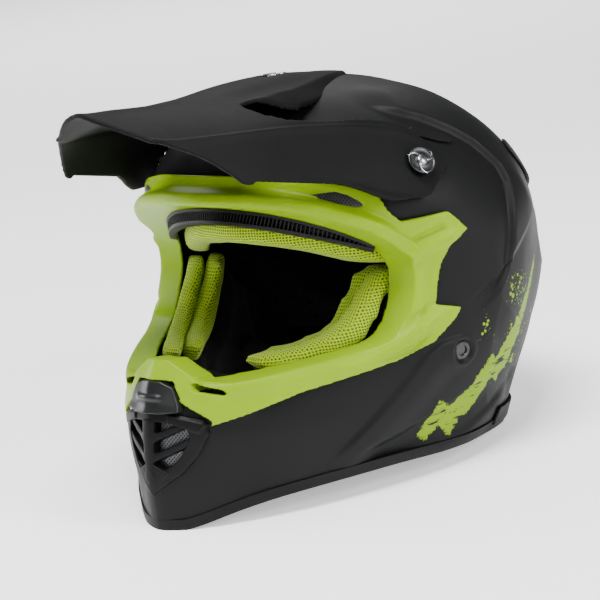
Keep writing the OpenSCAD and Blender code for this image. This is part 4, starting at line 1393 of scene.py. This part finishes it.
def bead_foam_material():
    """Moulded bead foam: small packed cells with dark seams."""
    m = Nodes("bead_foam")
    edge = m.ramp(m.cells(3.2, "DISTANCE_TO_EDGE"), 0.0, 0.12)
    m.sockets(Base_Color=m.mix(edge, (0.002, 0.002, 0.002), (0.008, 0.008, 0.0085)),
              Roughness=m.ramp(edge, 0, 1, 0.9, 0.66), Specular_IOR_Level=0.2,
              Normal=m.bump(edge, 0.35, 0.8))
    return m.material


def floor_material():
    """A plain pale floor that glows a little, so that it stays even."""
    m = Nodes("studio_floor")
    tone = m.noise(900.0, 2.0)
    white = m.mix(tone, (0.90, 0.90, 0.90), (0.92, 0.92, 0.92))
    m.sockets(Base_Color=white, Roughness=0.7, Specular_IOR_Level=0.1, Emission_Color=white,
              Emission_Strength=0.6)
    return m.material


# ------------------------------------------------------------------ putting it together
lacquer = lacquer_material()
peak_black = plastic_material("peak_plastic", (0.0034, 0.0035, 0.0037), (0.0050, 0.0051, 0.0054),
                              0.58, 0.9, 0.03, 0.09)
neon = plastic_material("neon_plastic", (0.195, 0.325, 0.0), (0.215, 0.355, 0.0), 0.36, 1.3,
                        0.02, 0.12)
graphite = plastic_material("graphite_plastic", (0.006, 0.0062, 0.0066), (0.010, 0.0102, 0.011),
                            0.33, 0.8, 0.03, 0.3)
badge_black = plastic_material("badge_plastic", (0.004, 0.004, 0.004), (0.007, 0.007, 0.007),
                               0.22, 0.8, 0.02)
vent_black = plastic_material("vent_plastic", (0.003, 0.003, 0.0031), (0.005, 0.005, 0.0052), 0.42,
                              0.8, 0.03, 0.12)
louvre_black = plastic_material("louvre_plastic", (0.003, 0.003, 0.003), (0.005, 0.005, 0.005),
                                0.5, 0.8, 0.03, 0.2)
rubber = plastic_material("edge_rubber", (0.0025, 0.0025, 0.0027), (0.0045, 0.0045, 0.0047), 0.55,
                          0.6, 0.04, 0.15)
chrome = metal_material("worn_chrome", (0.33, 0.335, 0.35), 0.24)
rivet_metal = metal_material("dark_rivet_metal", (0.06, 0.06, 0.064), 0.3)
screen = screen_material()
air_mesh = knit_material("neon_air_mesh", (0.30, 0.45, 0.0), (0.42, 0.60, 0.0),
                         (0.03, 0.05, 0.002), 1.7, 0.72)
# Black cloth made darker still: this colour also carries painted shade of the helmet's inside.
lining = knit_material("black_lining_and_painted_shade", (0.0012, 0.0012, 0.0013), (0.003, 0.003, 0.0032),
                       (0.0006, 0.0006, 0.0006), 2.0, 0.5, 0.03)
web = webbing_material()
foam = bead_foam_material()
thread = plastic_material("sewing_thread", (0.10, 0.10, 0.10), (0.16, 0.16, 0.16), 0.6, 0.4, 0.05)

build_shell(lacquer)
build_bead(rubber)
build_trim(neon)
for s in (-1, 1):
    build_brow_mesh(s, screen)
build_louvre(louvre_black)
build_peak(peak_black)
build_nose_cap(graphite)
build_mouth_frame(vent_black)
build_mouth_blades(vent_black)
build_mouth_mesh(screen)
build_rear(lacquer, rubber, vent_black, badge_black)
build_fasteners(chrome, rivet_metal)
build_padding(air_mesh, lining)
build_straps(web, thread)

carried = {"crown_liner": foam, "jaw_liner": foam, "peak_bushing_left": rubber,
           "peak_bushing_right": rubber, "peak_nut_left": chrome, "peak_nut_right": chrome,
           "peak_nut_top": chrome, "d_ring_front": chrome, "d_ring_back": chrome,
           "strap_anchor_left": chrome, "strap_anchor_right": chrome}
for name, material in carried.items():
    data = nodes[name].data
    data.materials.clear()
    data.materials.append(material)

# ------------------------------------------------------------------ floor, light and camera
floor = mesh_object("floor", [(-6, -6, 0), (6, -6, 0), (6, 6, 0), (-6, 6, 0)], [(0, 1, 2, 3)])
floor.data.materials.append(floor_material())

world = bpy.data.worlds.new("studio")
bpy.context.scene.world = world
world.use_nodes = True
world.node_tree.nodes["Background"].inputs[0].default_value = (1.0, 1.0, 1.0, 1.0)
world.node_tree.nodes["Background"].inputs[1].default_value = 0.16


def area_light(name, place_at, aim, size, power, tall=None):
    data = bpy.data.lights.new(name, "AREA")
    data.shape = "RECTANGLE"
    data.size = size
    data.size_y = tall or size
    data.energy = power
    lamp = linked(name, data)
    lamp.location = place_at
    lamp.rotation_euler = (Vector(aim) - Vector(place_at)).to_track_quat("-Z", "Y").to_euler()


middle = (0.0, -0.02, 0.12)
# Each lamp's place, what it is turned to, its width in metres, its power and its height.
area_light("overhead", (0.2, -0.5, 1.7), middle, 0.8, 62)
area_light("left_side", (1.8, 0.1, 1.0), middle, 0.6, 34, 0.9)
area_light("right_side", (-1.6, -0.7, 0.7), middle, 0.6, 24, 1.0)
area_light("sweep", (-2.2, 2.4, 2.4), (-2.7, 3.2, 0.0), 3.0, 150)
area_light("front_low", (0.35, -1.8, 0.6), middle, 0.7, 4)

# The camera's direction is given in the worn position and tipped with the helmet.
AZIMUTH, ELEVATION = math.radians(40), math.radians(6)
AWAY, AIM = 1150.0, (-30.0, 0.0, 115.0)
tip = Matrix.Rotation(-RAKE, 3, "X")
back = Vector((math.sin(AZIMUTH) * math.cos(ELEVATION), -math.cos(AZIMUTH) * math.cos(ELEVATION),
               math.sin(ELEVATION)))
right = Vector((math.cos(AZIMUTH), math.sin(AZIMUTH), 0))
up = back.cross(right)
camera_data = bpy.data.cameras.new("camera")
camera_data.lens = 109.0
camera_data.sensor_width = 36.0
camera = linked("camera", camera_data)
turned = Matrix((tip @ right, tip @ up, tip @ back)).transposed().to_4x4()
turned.translation = Vector(to_rim(np.array(AIM) + AWAY * np.array(back)))
camera.matrix_world = turned
bpy.context.scene.camera = camera
